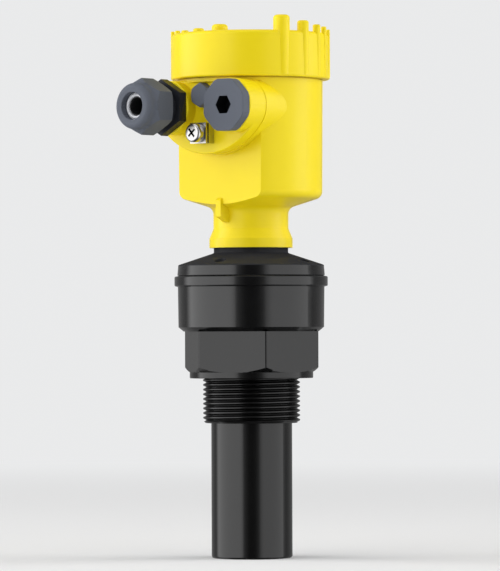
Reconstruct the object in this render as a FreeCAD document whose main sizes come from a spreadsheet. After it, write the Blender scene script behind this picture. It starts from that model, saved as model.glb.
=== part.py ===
"""Ultrasonic level sensor with a swivelling plastic housing, in millimetres.

Frame: the origin is the centre of the sealing face, where the screwed fitting meets its seat.
+Z runs up the axis to the housing, and the cable ports point to -Y.
"""
import FreeCAD, Part
import math
import os
import re
import Sketcher

# Driving dimensions, in millimetres and degrees. A height is measured from the sealing face
# unless its name says from where.
SIZES = {
    # Clearances between pieces
    "fit_gap": 0.05,
    "turn_gap": 0.08,
    "thread_gap": 0.3,
    # Transducer tube, closed below by the sound face
    "tube_dia": 39.8,
    "tube_depth": 88.4,
    "tube_wall": 2.0,
    "sound_face_thick": 1.5,
    "tube_edge_radius": 1.3,
    "tube_seat_height": 8.0,
    "tube_flange_dia": 46.0,
    "tube_flange_thick": 4.0,
    # Sound generating stack inside the tube
    "matching_thick": 3.0,
    "piezo_margin": 1.5,
    "piezo_thick": 5.0,
    "damping_length": 48.0,
    "probe_dia": 2.4,
    "probe_length": 7.0,
    "probe_margin": 5.5,
    # Screwed process fitting
    "thread_dia": 47.803,
    "thread_length": 22.0,
    "thread_chamfer": 1.2,
    "disc_dia": 60.8,
    "disc_thick": 3.0,
    "hex_flats": 60.0,
    "hex_height": 20.0,
    "hex_corner_angle": -37.9,
    "hex_chamfer_angle": 30.0,
    "spigot_dia": 58.0,
    "spigot_height": 10.0,
    "fitting_cavity_dia": 50.0,
    # Collar shell, heights from the top of the hexagon
    "collar_foot_dia": 66.6,
    "collar_dia": 71.7,
    "collar_chamfer": 2.1,
    "collar_top_dia": 72.2,
    "bead_dia": 75.5,
    "bead_low": 21.9,
    "bead_slope": 0.5,
    "bead_height": 4.5,
    "bead_round": 0.6,
    "collar_height": 27.3,
    "collar_rim_dia": 72.2,
    "collar_wall": 3.3,
    "gasket_thick": 0.3,
    "gasket_width": 2.4,
    # Screws that hold the cap
    "cap_screw_circle_dia": 59.6,
    "cap_screw_angle": 10.0,
    "cap_boss_dia": 6.4,
    "cap_boss_length": 14.0,
    "cap_screw_dia": 2.9,
    "cap_screw_length": 12.0,
    "cap_screw_head_dia": 5.0,
    "cap_screw_head_height": 1.5,
    "cap_screw_seat": 4.2,
    "cap_recess_dia": 5.8,
    # Cap, heights from its lower face
    "cap_dia": 72.6,
    "cap_ring_height": 4.9,
    "cap_shoulder_dia": 71.8,
    "cap_cone_dia": 70.6,
    "cap_edge_height": 0.4,
    "cap_cone_height": 10.8,
    "cap_neck_dia": 36.6,
    "cap_height": 13.5,
    "cap_wall": 3.2,
    # Swivel neck inside the housing
    "swivel_dia": 26.0,
    "wire_bore_dia": 20.0,
    "swivel_above_floor": 4.0,
    "seal_section": 1.8,
    "seal_height": 5.7,
    "ring_dia": 33.6,
    "ring_thick": 2.8,
    "ring_notch": 3.0,
    # Housing, heights from its lower face
    "neck_flange_dia": 41.0,
    "neck_flange_height": 4.5,
    "neck_dia": 36.9,
    "neck_taper_top": 9.4,
    "neck_cone_start": 19.4,
    "neck_round": 4.0,
    "body_cone_angle": 17.9,
    "body_low_dia": 70.4,
    "body_top_dia": 71.2,
    "body_round": 4.0,
    "body_height": 82.1,
    "rim_step": 1.0,
    "rim_height": 11.8,
    "rim_wall": 1.9,
    "mouth_step": 0.3,
    "floor_height": 26.4,
    "facet_distance": 23.6,
    "housing_wall": 3.0,
    # Rib below the ports
    "rib_thick": 3.1,
    "rib_reach": 24.9,
    "rib_low": 12.1,
    "rib_outer_low": 15.0,
    "rib_outer_high": 23.0,
    # Port block, distances from the axis towards the ports
    "port_spacing": 39.7,
    "port_cover": 0.6,
    "block_face": 33.6,
    "block_base_face": 27.5,
    "block_base_step": 0.3,
    "block_top_cover": 1.0,
    "block_back": 8.0,
    "block_round_radius": 13.2,
    "block_edge": 0.8,
    "boss_edge": 0.5,
    "block_belly_radius": 38.3,
    "port_seat": 39.4,
    "port_dia": 20.0,
    "port_end": 16.0,
    "seal_recess_dia": 23.6,
    "seal_recess_depth": 1.5,
    "port_seal_dia": 23.0,
    # Lid
    "lid_gap": 0.6,
    "lid_skirt": 4.2,
    "lid_draft": 0.4,
    "lid_height": 22.5,
    "lid_top_thick": 3.0,
    "lid_wall": 3.0,
    "lid_top_round": 2.0,
    "lid_low_round": 0.8,
    "lid_seal_inset": 0.2,
    "lid_seal_width": 2.3,
    "lid_seal_thick": 2.0,
    "column_proud": 0.4,
    # Cable gland, distances along its axis from the port seat
    "gland_flats": 24.0,
    "gland_shank_length": 9.0,
    "gland_flange_thick": 4.9,
    "gland_neck_end": 14.6,
    "gland_finger_end": 18.1,
    "gland_finger_slot": 0.9,
    "gland_bore_dia": 13.0,
    "insert_dia": 14.6,
    "insert_bore_dia": 8.4,
    "insert_low": 7.1,
    "insert_end": 22.6,
    "gland_ring_thick": 1.6,
    "gland_ring_mouth_dia": 11.8,
    "nut_low": 9.7,
    "nut_end": 26.4,
    "nut_hex_end": 21.7,
    "nut_nose_dia": 22.6,
    "nut_nose_round": 2.5,
    "nut_mouth_dia": 13.4,
    "nut_cone_start": 18.4,
    # Blind plug
    "plug_head_flats": 25.1,
    "plug_head_dia": 26.2,
    "plug_head_thick": 4.8,
    "plug_shank_length": 8.0,
    "plug_socket_flats": 8.5,
    "plug_socket_depth": 7.5,
    "plug_edge": 0.4,
    # Breather
    "breather_lift": 5.6,
    "breather_flats": 10.5,
    "breather_length": 5.4,
    "breather_shank_dia": 5.8,
    "breather_shank_length": 7.6,
    "breather_bore_dia": 3.0,
    "membrane_thick": 0.4,
    # Earth terminal
    "earth_drop": 13.0,
    "earth_plate": 10.0,
    "earth_base_thick": 2.8,
    "earth_plate_thick": 1.2,
    "earth_washer_thick": 1.0,
    "earth_washer_dia": 8.4,
    "earth_lock_dia": 8.8,
    "earth_lock_thick": 1.2,
    "earth_bush_dia": 6.8,
    "earth_bush_length": 8.6,
    "earth_screw_dia": 5.0,
    "earth_screw_length": 12.0,
    "earth_head_dia": 9.3,
    "earth_head_height": 3.6,
    "earth_head_round": 1.6,
    "earth_cross_width": 1.1,
    "earth_cross_span": 5.2,
    "earth_cross_depth": 2.0,
    # Electronics module on the housing's floor
    "module_gap": 2.9,
    "module_flat": 18.5,
    "module_height": 27.0,
    "module_recess_dia": 37.0,
    "module_recess_depth": 6.0,
    "module_edge": 1.0,
    "board_dia": 24.0,
    "board_thick": 1.6,
    "board_offset": 12.0,
    "terminal_length": 20.0,
    "terminal_depth": 10.0,
    "terminal_height": 10.0,
    "terminal_gap": 3.0,
    "terminal_front": 17.0,
    "wire_hole_dia": 2.8,
    "wire_hole_depth": 7.0,
    "wire_hole_pitch": 6.0,
    "module_screw_spacing": 46.0,
    "module_screw_offset": 8.0,
    "module_screw_dia": 3.0,
    "module_screw_length": 8.0,
    "module_screw_head_dia": 5.6,
    "module_screw_head_height": 2.2,
}

# Columns of the lid: name, diameter, direction from +X, height above the lid's top
LID_COLUMNS = [
    ("grip", 8.08, -24.6, 7.4),
    ("second", 5.67, -5.5, 5.0),
    ("third", 3.79, 9.5, 3.5),
    ("fourth", 2.66, 20.5, 2.9),
    ("last", 1.90, 32.6, 1.9),
]
for column, dia, angle, rise in LID_COLUMNS:
    SIZES[f"column_{column}_dia"] = dia
    SIZES[f"column_{column}_angle"] = angle
    SIZES[f"column_{column}_rise"] = rise

# Heights and radii that follow from the driving dimensions
HEX_TOP = "(disc_thick + hex_height)"
SPIGOT_TOP = f"({HEX_TOP} + spigot_height)"
COLLAR_TOP = f"({HEX_TOP} + collar_height)"
COLLAR_INNER = "(collar_dia / 2 - collar_wall)"
CAP_LOW = f"({COLLAR_TOP} + gasket_thick)"
CAP_TOP = f"({CAP_LOW} + cap_height)"
FLOOR = f"({CAP_TOP} + floor_height)"
BODY_TOP = f"({CAP_TOP} + body_height)"
RIM_TOP = f"({BODY_TOP} + rim_height)"
SWIVEL_TOP = f"({FLOOR} + swivel_above_floor)"
SWIVEL_BORE = "(swivel_dia / 2 + turn_gap)"
MODULE_TOP = f"({FLOOR} + module_height)"
LID_LOW = f"({BODY_TOP} + lid_gap)"
LID_TOP = f"({LID_LOW} + lid_height)"
THREAD_SHANK = "(port_dia / 2 - thread_gap)"
FLANGE_TOP = "(port_seat + gland_flange_thick)"
LOCK_LOW = "(block_face + earth_base_thick + 2 * earth_plate_thick + earth_washer_thick)"
EARTH_TOP = f"({LOCK_LOW} + earth_lock_thick)"
INSERT_TOP = "(port_seat + insert_end - gland_ring_thick)"
PIEZO_LOW = "(-tube_depth + sound_face_thick + matching_thick)"
PIEZO_TOP = f"({PIEZO_LOW} + piezo_thick)"
TUBE_INNER = "(tube_dia / 2 - tube_wall)"
PORT_HEIGHT = f"({BODY_TOP} - block_round_radius - port_cover)"
BREATHER_HEIGHT = f"({PORT_HEIGHT} + breather_lift)"
EARTH_HEIGHT = f"({PORT_HEIGHT} - earth_drop)"
RIM_RADIUS = "(body_top_dia / 2 - rim_step)"
MOUTH_RADIUS = f"({RIM_RADIUS} - rim_wall)"
CAVITY_RADIUS = f"({MOUTH_RADIUS} - mouth_step)"
MODULE_RADIUS = f"({CAVITY_RADIUS} - module_gap)"
LID_BORE = f"({RIM_RADIUS} + thread_gap)"
LID_LOW_RADIUS = f"({LID_BORE} + lid_skirt)"
LID_TOP_RADIUS = f"({LID_LOW_RADIUS} - lid_draft)"
LID_SEAL_RADIUS = f"({RIM_RADIUS} - lid_seal_inset)"
COLUMN_REACH = f"({LID_LOW_RADIUS} + column_proud)"

doc = FreeCAD.newDocument("level_sensor")
sheet = doc.addObject("Spreadsheet::Sheet", "Sizes")
parts = []


def fill_sheet():
    """Write each driving dimension to the sheet as plain text with its name as alias."""
    for row, (name, value) in enumerate(SIZES.items(), start=1):
        sheet.set(f"A{row}", name)
        sheet.set(f"B{row}", str(value))
        sheet.setAlias(f"B{row}", name)
    doc.recompute()


def linked(text):
    """Turn size names in an expression into references to the sheet."""
    def link(match):
        word = match.group()
        return f"Sizes.{word}" if word in SIZES else word
    return re.sub(r"[a-z_]+", link, str(text))


def value_of(text):
    """Work out an expression of size names as a number."""
    result = sheet.evalExpression(linked(text))
    return float(getattr(result, "Value", result))


def bind(thing, prop, text):
    """Bind a property of a document object to an expression of size names."""
    thing.setExpression(prop, linked(text))


def new_body(label, x="0", height="0", towards_ports=False):
    """Start a body; one towards the ports has its local Z along -Y at the given height."""
    body = doc.addObject("PartDesign::Body", label)
    body.Label = label
    if towards_ports:
        body.Placement = FreeCAD.Placement(FreeCAD.Vector(), FreeCAD.Rotation(FreeCAD.Vector(1, 0, 0), 90))
        bind(body, "Placement.Base.x", x)
        bind(body, "Placement.Base.z", height)
    parts.append(body)
    return body


def new_sketch(body, name, role="XY_Plane", offset="0"):
    """Attach a sketch to one of the body's own planes, moved along the plane's normal."""
    sketch = body.newObject("Sketcher::SketchObject", name)
    plane = next(item for item in body.Origin.OriginFeatures if item.Role == role)
    sketch.AttachmentSupport = [(plane, "")]
    sketch.MapMode = "FlatFace"
    bind(sketch, ".AttachmentOffset.Base.z", offset)
    return sketch


def place_point(sketch, shape, end, x, y):
    """Hold one point of a sketch shape at the coordinates that two expressions give."""
    for kind, text, axis in (("DistanceX", x, -2), ("DistanceY", y, -1)):
        if str(text) == "0":
            sketch.addConstraint(Sketcher.Constraint("PointOnObject", shape, end, axis))
            continue
        index = sketch.addConstraint(Sketcher.Constraint(kind, -1, 1, shape, end, value_of(text)))
        bind(sketch, f"Constraints[{index}]", text)


def draw_circle(sketch, x, y, radius):
    """Add a circle whose centre and radius follow the sizes."""
    centre = FreeCAD.Vector(value_of(x), value_of(y), 0)
    shape = sketch.addGeometry(Part.Circle(centre, FreeCAD.Vector(0, 0, 1), value_of(radius)))
    place_point(sketch, shape, 3, x, y)
    index = sketch.addConstraint(Sketcher.Constraint("Radius", shape, value_of(radius)))
    bind(sketch, f"Constraints[{index}]", radius)


def arc_between(start, end, radius):
    """Make the shorter counter-clockwise arc of one radius from start to end."""
    chord = end.sub(start)
    middle = start.add(end).multiply(0.5)
    height = math.sqrt(radius * radius - chord.Length * chord.Length / 4)
    left = FreeCAD.Vector(-chord.y, chord.x, 0).normalize()
    centre = middle.add(left.multiply(height))
    angles = [math.atan2(point.y - centre.y, point.x - centre.x) for point in (start, end)]
    circle = Part.Circle(centre, FreeCAD.Vector(0, 0, 1), radius)
    return Part.ArcOfCircle(circle, angles[0], angles[1])


def draw_outline(sketch, points, arcs=None):
    """Add a closed outline; arcs maps a side's number to the radius of its outward arc."""
    arcs = arcs or {}
    places = [FreeCAD.Vector(value_of(x), value_of(y), 0) for x, y in points]
    sides = []
    for number, (x, y) in enumerate(points):
        start = places[number]
        end = places[(number + 1) % len(points)]
        if number in arcs:
            shape = sketch.addGeometry(arc_between(start, end, value_of(arcs[number])))
        else:
            shape = sketch.addGeometry(Part.LineSegment(start, end))
        sides.append(shape)
    for number, (x, y) in enumerate(points):
        before = sides[number - 1]
        sketch.addConstraint(Sketcher.Constraint("Coincident", before, 2, sides[number], 1))
        place_point(sketch, sides[number], 1, x, y)
    for number, radius in arcs.items():
        index = sketch.addConstraint(Sketcher.Constraint("Radius", sides[number], value_of(radius)))
        bind(sketch, f"Constraints[{index}]", radius)


def revolve(body, name, points, cut=False):
    """Turn a closed outline of (radius, height) about the body's Z axis, as solid or as cut."""
    sketch = new_sketch(body, name + "_profile", "XZ_Plane")
    draw_outline(sketch, points)
    kind = "PartDesign::Groove" if cut else "PartDesign::Revolution"
    feature = body.newObject(kind, name)
    feature.Profile = sketch
    feature.ReferenceAxis = (sketch, ["V_Axis"])
    feature.Angle = 360
    feature.Refine = False
    return feature


def extrude(body, name, sketch, length, cut=False, flip=False, middle=False):
    """Pad or pocket a sketch by a length that follows the sizes."""
    kind = "PartDesign::Pocket" if cut else "PartDesign::Pad"
    feature = body.newObject(kind, name)
    feature.Profile = sketch
    if middle:
        feature.SideType = "Symmetric"
    feature.Reversed = flip
    feature.Refine = False
    bind(feature, "Length", length)
    return feature


def drill(body, name, spots, radius, top, depth, role="XY_Plane", flip=False):
    """Sink round holes of one radius from a plane into the body."""
    sketch = new_sketch(body, name + "_circles", role, top)
    for x, y in spots:
        draw_circle(sketch, x, y, radius)
    return extrude(body, name, sketch, depth, cut=True, flip=flip)


def corners(flats, sides, start):
    """Give the corner points of a regular outline with the given width across flats."""
    reach = f"{flats} / 2 / cos({180 / sides} deg)"
    steps = [f"({start} + {360 * number / sides}) * 1 deg" for number in range(sides)]
    return [(f"{reach} * cos({step})", f"{reach} * sin({step})") for step in steps]


def prism(body, name, flats, sides, start, low, length, hole=None):
    """Pad a regular prism, with a round hole where a radius is given."""
    sketch = new_sketch(body, name + "_outline", "XY_Plane", low)
    draw_outline(sketch, corners(flats, sides, start))
    if hole:
        draw_circle(sketch, "0", "0", hole)
    return extrude(body, name, sketch, length)


def round_edges(body, name, radius, wanted):
    """Round the edges of the body's tip that the given test picks by their place."""
    doc.recompute()
    base = body.Tip
    names = [f"Edge{i}" for i, edge in enumerate(base.Shape.Edges, start=1) if wanted(edge)]
    fillet = body.newObject("PartDesign::Fillet", name)
    fillet.Base = (base, names)
    fillet.Refine = False
    bind(fillet, "Radius", radius)
    return fillet


def ring_edge(radius, height):
    """Make a test for a circular edge about the body's axis."""
    def wanted(edge):
        curve = edge.Curve
        if not isinstance(curve, Part.Circle):
            return False
        centred = math.hypot(curve.Center.x, curve.Center.y) < 1e-6
        same_height = abs(curve.Center.z - value_of(height)) < 1e-4
        return centred and same_height and abs(curve.Radius - value_of(radius)) < 1e-4
    return wanted


def level_edge(height):
    """Make a test for an edge that lies wholly at one height."""
    def wanted(edge):
        box = edge.BoundBox
        return abs(box.ZMin - value_of(height)) < 1e-4 and abs(box.ZMax - value_of(height)) < 1e-4
    return wanted


def port_side_edge(reach):
    """Make a test for an edge that lies wholly in one plane across the ports."""
    def wanted(edge):
        box = edge.BoundBox
        return abs(box.YMin + value_of(reach)) < 1e-4 and abs(box.YMax + value_of(reach)) < 1e-4
    return wanted


def screw_spots(circle_dia, start, count):
    """Give the places of screws that are spread evenly on a circle."""
    steps = [f"({start} + {360 * number / count}) * 1 deg" for number in range(count)]
    return [(f"{circle_dia} / 2 * cos({step})", f"{circle_dia} / 2 * sin({step})") for step in steps]


CAP_SCREWS = screw_spots("cap_screw_circle_dia", "cap_screw_angle", 4)
MODULE_SCREWS = [(f"{side} * module_screw_spacing / 2", "module_screw_offset") for side in (-1, 1)]


def make_transducer_tube():
    """Moulded tube whose closed end is the sound face, with a flange that seats in the fitting."""
    body = new_body("transducer_tube")
    flange_top = "tube_seat_height + tube_flange_thick"
    revolve(body, "tube_solid", [
        ("0", "-tube_depth"),
        ("tube_dia / 2", "-tube_depth"),
        ("tube_dia / 2", "tube_seat_height"),
        ("tube_flange_dia / 2", "tube_seat_height"),
        ("tube_flange_dia / 2", flange_top),
        (TUBE_INNER, flange_top),
        (TUBE_INNER, "-tube_depth + sound_face_thick"),
        ("0", "-tube_depth + sound_face_thick"),
    ])
    round_edges(body, "tube_edge", "tube_edge_radius", ring_edge("tube_dia / 2", "-tube_depth"))


def make_sound_stack():
    """Matching layer, piezo disc, damping block and temperature probe inside the tube."""
    stack_radius = f"({TUBE_INNER} - fit_gap)"
    piezo_radius = f"({TUBE_INNER} - piezo_margin)"
    probe_place = f"({TUBE_INNER} - probe_margin)"
    disc = doc.addObject("Part::Cylinder", "matching_layer")
    bind(disc, "Radius", stack_radius)
    bind(disc, "Height", "matching_thick")
    bind(disc, "Placement.Base.z", "-tube_depth + sound_face_thick")
    piezo = doc.addObject("Part::Cylinder", "piezo_disc")
    bind(piezo, "Radius", piezo_radius)
    bind(piezo, "Height", "piezo_thick")
    bind(piezo, "Placement.Base.z", PIEZO_LOW)
    parts.extend([disc, piezo])

    block = new_body("damping_block")
    top = f"{PIEZO_TOP} + damping_length"
    revolve(block, "block_solid", [
        ("0", PIEZO_TOP),
        (f"{piezo_radius} + fit_gap", PIEZO_TOP),
        (f"{piezo_radius} + fit_gap", PIEZO_LOW),
        (stack_radius, PIEZO_LOW),
        (stack_radius, top),
        ("0", top),
    ])
    drill(block, "probe_hole", [(probe_place, "0")], "probe_dia / 2 + fit_gap",
          PIEZO_TOP, "probe_length", flip=True)

    probe = doc.addObject("Part::Cylinder", "temperature_sensor")
    bind(probe, "Radius", "probe_dia / 2")
    bind(probe, "Height", "probe_length")
    bind(probe, "Placement.Base.x", probe_place)
    bind(probe, "Placement.Base.z", PIEZO_TOP)
    parts.append(probe)


def make_process_fitting():
    """Threaded stub, sealing disc, hexagon and the spigot that carries the collar."""
    body = new_body("process_fitting")
    bore = "tube_dia / 2 + fit_gap"
    seat = "tube_seat_height"
    flange_bore = "tube_flange_dia / 2 + fit_gap"
    step = f"{seat} + tube_flange_thick + 1"
    revolve(body, "fitting_solid", [
        (bore, "-thread_length"),
        ("thread_dia / 2 - thread_chamfer", "-thread_length"),
        ("thread_dia / 2", "-thread_length + thread_chamfer"),
        ("thread_dia / 2", "0"),
        ("disc_dia / 2", "0"),
        ("disc_dia / 2", "disc_thick"),
        ("spigot_dia / 2", "disc_thick"),
        ("spigot_dia / 2", SPIGOT_TOP),
        ("fitting_cavity_dia / 2", SPIGOT_TOP),
        ("fitting_cavity_dia / 2", step),
        (flange_bore, step),
        (flange_bore, seat),
        (bore, seat),
    ])
    prism(body, "hexagon", "hex_flats", 6, "hex_corner_angle", "disc_thick", "hex_height",
          hole="spigot_dia / 2 - 1")
    corner = "(hex_flats / 2 / cos(30 deg) + 1)"
    rise = f"({corner} - disc_dia / 2) * tan(hex_chamfer_angle * 1 deg)"
    revolve(body, "hexagon_chamfer", [
        ("disc_dia / 2", "disc_thick"),
        (corner, "disc_thick"),
        (corner, f"disc_thick + {rise}"),
    ], cut=True)


def make_collar():
    """Round adapter shell with its bead and four screw bosses."""
    body = new_body("collar")
    bore = "spigot_dia / 2 + fit_gap"
    bead_low = f"{HEX_TOP} + bead_low"
    bead_top = f"{bead_low} + bead_slope + bead_height"
    revolve(body, "collar_solid", [
        (bore, HEX_TOP),
        ("collar_foot_dia / 2", HEX_TOP),
        ("collar_dia / 2", f"{HEX_TOP} + collar_chamfer"),
        ("collar_top_dia / 2", bead_low),
        ("bead_dia / 2", f"{bead_low} + bead_slope"),
        ("bead_dia / 2", bead_top),
        ("collar_rim_dia / 2", COLLAR_TOP),
        (COLLAR_INNER, COLLAR_TOP),
        (COLLAR_INNER, SPIGOT_TOP),
        (bore, SPIGOT_TOP),
    ])
    for name, height in (("bead_low_round", f"{bead_low} + bead_slope"), ("bead_top_round", bead_top)):
        round_edges(body, name, "bead_round", ring_edge("bead_dia / 2", height))
    sketch = new_sketch(body, "boss_circles", "XY_Plane", COLLAR_TOP)
    for x, y in CAP_SCREWS:
        draw_circle(sketch, x, y, "cap_boss_dia / 2")
    extrude(body, "bosses", sketch, "cap_boss_length", flip=True)
    drill(body, "boss_holes", CAP_SCREWS, "cap_screw_dia / 2 + fit_gap", COLLAR_TOP,
          "cap_screw_length - cap_screw_seat - gasket_thick + 1")


def make_collar_gasket():
    """Thin flat gasket between the collar and its cap."""
    outer = "(collar_rim_dia / 2 - 0.3)"
    body = new_body("collar_gasket")
    revolve(body, "gasket_solid", [
        (f"{outer} - gasket_width", COLLAR_TOP),
        (outer, COLLAR_TOP),
        (outer, CAP_LOW),
        (f"{outer} - gasket_width", CAP_LOW),
    ])


def make_collar_cap():
    """Conical cap, its neck and the hollow spigot that the housing turns on."""
    body = new_body("collar_cap")
    ring_top = f"{CAP_LOW} + cap_ring_height"
    cone_foot = f"{ring_top} + cap_edge_height"
    revolve(body, "cap_solid", [
        (COLLAR_INNER, CAP_LOW),
        ("cap_dia / 2", CAP_LOW),
        ("cap_shoulder_dia / 2", ring_top),
        ("cap_cone_dia / 2", cone_foot),
        ("cap_neck_dia / 2 + 0.4", f"{CAP_LOW} + cap_cone_height"),
        ("cap_neck_dia / 2", f"{CAP_LOW} + cap_cone_height + 0.4"),
        ("cap_neck_dia / 2", CAP_TOP),
        ("swivel_dia / 2", CAP_TOP),
        ("swivel_dia / 2", SWIVEL_TOP),
        ("wire_bore_dia / 2", SWIVEL_TOP),
        ("wire_bore_dia / 2", f"{CAP_LOW} + cap_cone_height - cap_wall"),
        ("wire_bore_dia / 2 + 3", f"{CAP_LOW} + cap_cone_height - cap_wall"),
        (COLLAR_INNER, f"{ring_top} - cap_wall"),
    ])
    sketch = new_sketch(body, "post_circles", "XY_Plane", CAP_LOW)
    for x, y in CAP_SCREWS:
        draw_circle(sketch, x, y, "cap_boss_dia / 2")
    extrude(body, "posts", sketch, "cap_screw_seat")
    drill(body, "recesses", CAP_SCREWS, "cap_recess_dia / 2", f"{CAP_LOW} + cap_height", "cap_height - cap_screw_seat")
    drill(body, "screw_holes", CAP_SCREWS, "cap_screw_dia / 2 + fit_gap", CAP_TOP, "cap_height")
    groove_low = f"{CAP_TOP} + seal_height - seal_section / 2 - 0.2"
    groove_top = f"{CAP_TOP} + seal_height + seal_section / 2 + 0.2"
    revolve(body, "seal_groove", [
        ("swivel_dia / 2 - seal_section", groove_low),
        ("swivel_dia / 2 + 1", groove_low),
        ("swivel_dia / 2 + 1", groove_top),
        ("swivel_dia / 2 - seal_section", groove_top),
    ], cut=True)


def make_cap_screws():
    """Four pan head screws that hold the cap on the collar."""
    body = new_body("cap_screws")
    seat = f"{CAP_LOW} + cap_screw_seat"
    heads = new_sketch(body, "head_circles", "XY_Plane", seat)
    shanks = new_sketch(body, "shank_circles", "XY_Plane", seat)
    for x, y in CAP_SCREWS:
        draw_circle(heads, x, y, "cap_screw_head_dia / 2")
        draw_circle(shanks, x, y, "cap_screw_dia / 2")
    extrude(body, "heads", heads, "cap_screw_head_height")
    extrude(body, "shanks", shanks, "cap_screw_length", flip=True)


def make_swivel_seal():
    """Round sealing ring in the groove of the swivel spigot."""
    seal = doc.addObject("Part::Torus", "swivel_seal")
    bind(seal, "Radius1", "swivel_dia / 2 - seal_section / 2 + fit_gap")
    bind(seal, "Radius2", "seal_section / 2")
    bind(seal, "Placement.Base.z", f"{CAP_TOP} + seal_height")
    parts.append(seal)


def make_retaining_ring():
    """Ring on the spigot's end that holds the housing down and lets it turn."""
    body = new_body("retaining_ring")
    low = f"{FLOOR} + turn_gap"
    revolve(body, "ring_solid", [
        ("swivel_dia / 2 + fit_gap", low),
        ("ring_dia / 2", low),
        ("ring_dia / 2", f"{low} + ring_thick"),
        ("swivel_dia / 2 + fit_gap", f"{low} + ring_thick"),
    ])
    notches = screw_spots("ring_dia", "0", 4)
    drill(body, "ring_notches", notches, "ring_notch / 2", f"{low} + ring_thick", "ring_thick")


def cone_height_at(radius):
    """Height of the housing's lower cone at a radius."""
    return f"({CAP_TOP} + neck_cone_start + ({radius} - neck_dia / 2) * tan(body_cone_angle * 1 deg))"


def make_housing():
    """Single chamber housing with its neck, flat port side, port block and lid rim."""
    body = new_body("housing")
    revolve(body, "shell", [
        (SWIVEL_BORE, CAP_TOP),
        ("neck_flange_dia / 2", CAP_TOP),
        ("neck_flange_dia / 2", f"{CAP_TOP} + neck_flange_height"),
        ("neck_dia / 2", f"{CAP_TOP} + neck_taper_top"),
        ("neck_dia / 2", f"{CAP_TOP} + neck_cone_start"),
        ("body_low_dia / 2", cone_height_at("body_low_dia / 2")),
        ("body_top_dia / 2", BODY_TOP),
        (RIM_RADIUS, BODY_TOP),
        (RIM_RADIUS, RIM_TOP),
        (SWIVEL_BORE, RIM_TOP),
    ])
    round_edges(body, "neck_fillet", "neck_round",
                ring_edge("neck_dia / 2", f"{CAP_TOP} + neck_cone_start"))
    round_edges(body, "body_fillet", "body_round",
                ring_edge("body_low_dia / 2", cone_height_at("body_low_dia / 2")))
    cut_facet(body)
    add_port_block(body)
    add_rib(body)
    cut_cavity(body)
    cut_ports(body)


def cut_facet(body):
    """Flatten the port side of the shell below the lid rim."""
    sketch = new_sketch(body, "facet_area", "XZ_Plane", "facet_distance")
    half = "body_top_dia / 2"
    low = f"{CAP_TOP} + neck_cone_start - neck_round"
    high = f"{PORT_HEIGHT} + block_round_radius - block_top_cover"
    draw_outline(sketch, [(f"-{half}", low), (half, low), (half, high), (f"-{half}", high)])
    extrude(body, "facet", sketch, half, cut=True, flip=True)


def add_port_block(body):
    """Raised block with two round ends and a curved belly, and a boss for each port."""
    steps = [("block_base", "block_base_step", "block_base_face", "block_base_face - block_back"),
             ("block_front", "0", "block_face", "block_face - block_base_face")]
    for name, extra, face, depth in steps:
        sketch = new_sketch(body, name + "_outline", "XZ_Plane", face)
        draw_block_outline(sketch, extra)
        extrude(body, name, sketch, depth, flip=True)
    round_edges(body, "block_front_round", "block_edge", port_side_edge("block_face"))
    bosses = new_sketch(body, "boss_circles", "XZ_Plane", "port_seat")
    for side in (-1, 1):
        draw_circle(bosses, f"{side} * port_spacing / 2", PORT_HEIGHT, "block_round_radius")
    extrude(body, "port_bosses", bosses, "port_seat - block_base_face", flip=True)
    round_edges(body, "boss_front_round", "boss_edge", port_side_edge("port_seat"))


def draw_block_outline(sketch, extra):
    """Draw the block's outline, wider all round by a step: two round ends, flat top, round belly."""
    end_radius = f"(block_round_radius + {extra})"
    belly_radius = f"(block_belly_radius + {extra})"
    reach = "(block_belly_radius - block_round_radius)"
    drop = f"sqrt({reach} * {reach} - port_spacing * port_spacing / 4)"
    touch_x = f"(port_spacing / 2 * {belly_radius} / {reach})"
    touch_z = f"({PORT_HEIGHT} + {drop} - {drop} * {belly_radius} / {reach})"
    top = f"{PORT_HEIGHT} + {end_radius}"
    draw_outline(sketch, [
        (f"-{touch_x}", touch_z),
        (touch_x, touch_z),
        ("port_spacing / 2", top),
        ("-port_spacing / 2", top),
    ], arcs={0: belly_radius, 1: end_radius, 3: end_radius})


def add_rib(body):
    """Radial rib between the neck and the underside of the port side."""
    sketch = new_sketch(body, "rib_outline", "YZ_Plane")
    root = "(swivel_dia / 2 + housing_wall)"
    crest = f"{CAP_TOP} + rib_outer_high + rib_reach - facet_distance"
    draw_outline(sketch, [
        (f"-{root}", f"{CAP_TOP} + rib_low"),
        ("-neck_dia / 2", f"{CAP_TOP} + rib_low"),
        ("-rib_reach", f"{CAP_TOP} + rib_outer_low"),
        ("-rib_reach", f"{CAP_TOP} + rib_outer_high"),
        ("-facet_distance + 0.2", crest),
        (f"-{root}", crest),
    ])
    extrude(body, "rib", sketch, "rib_thick", middle=True)


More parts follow.
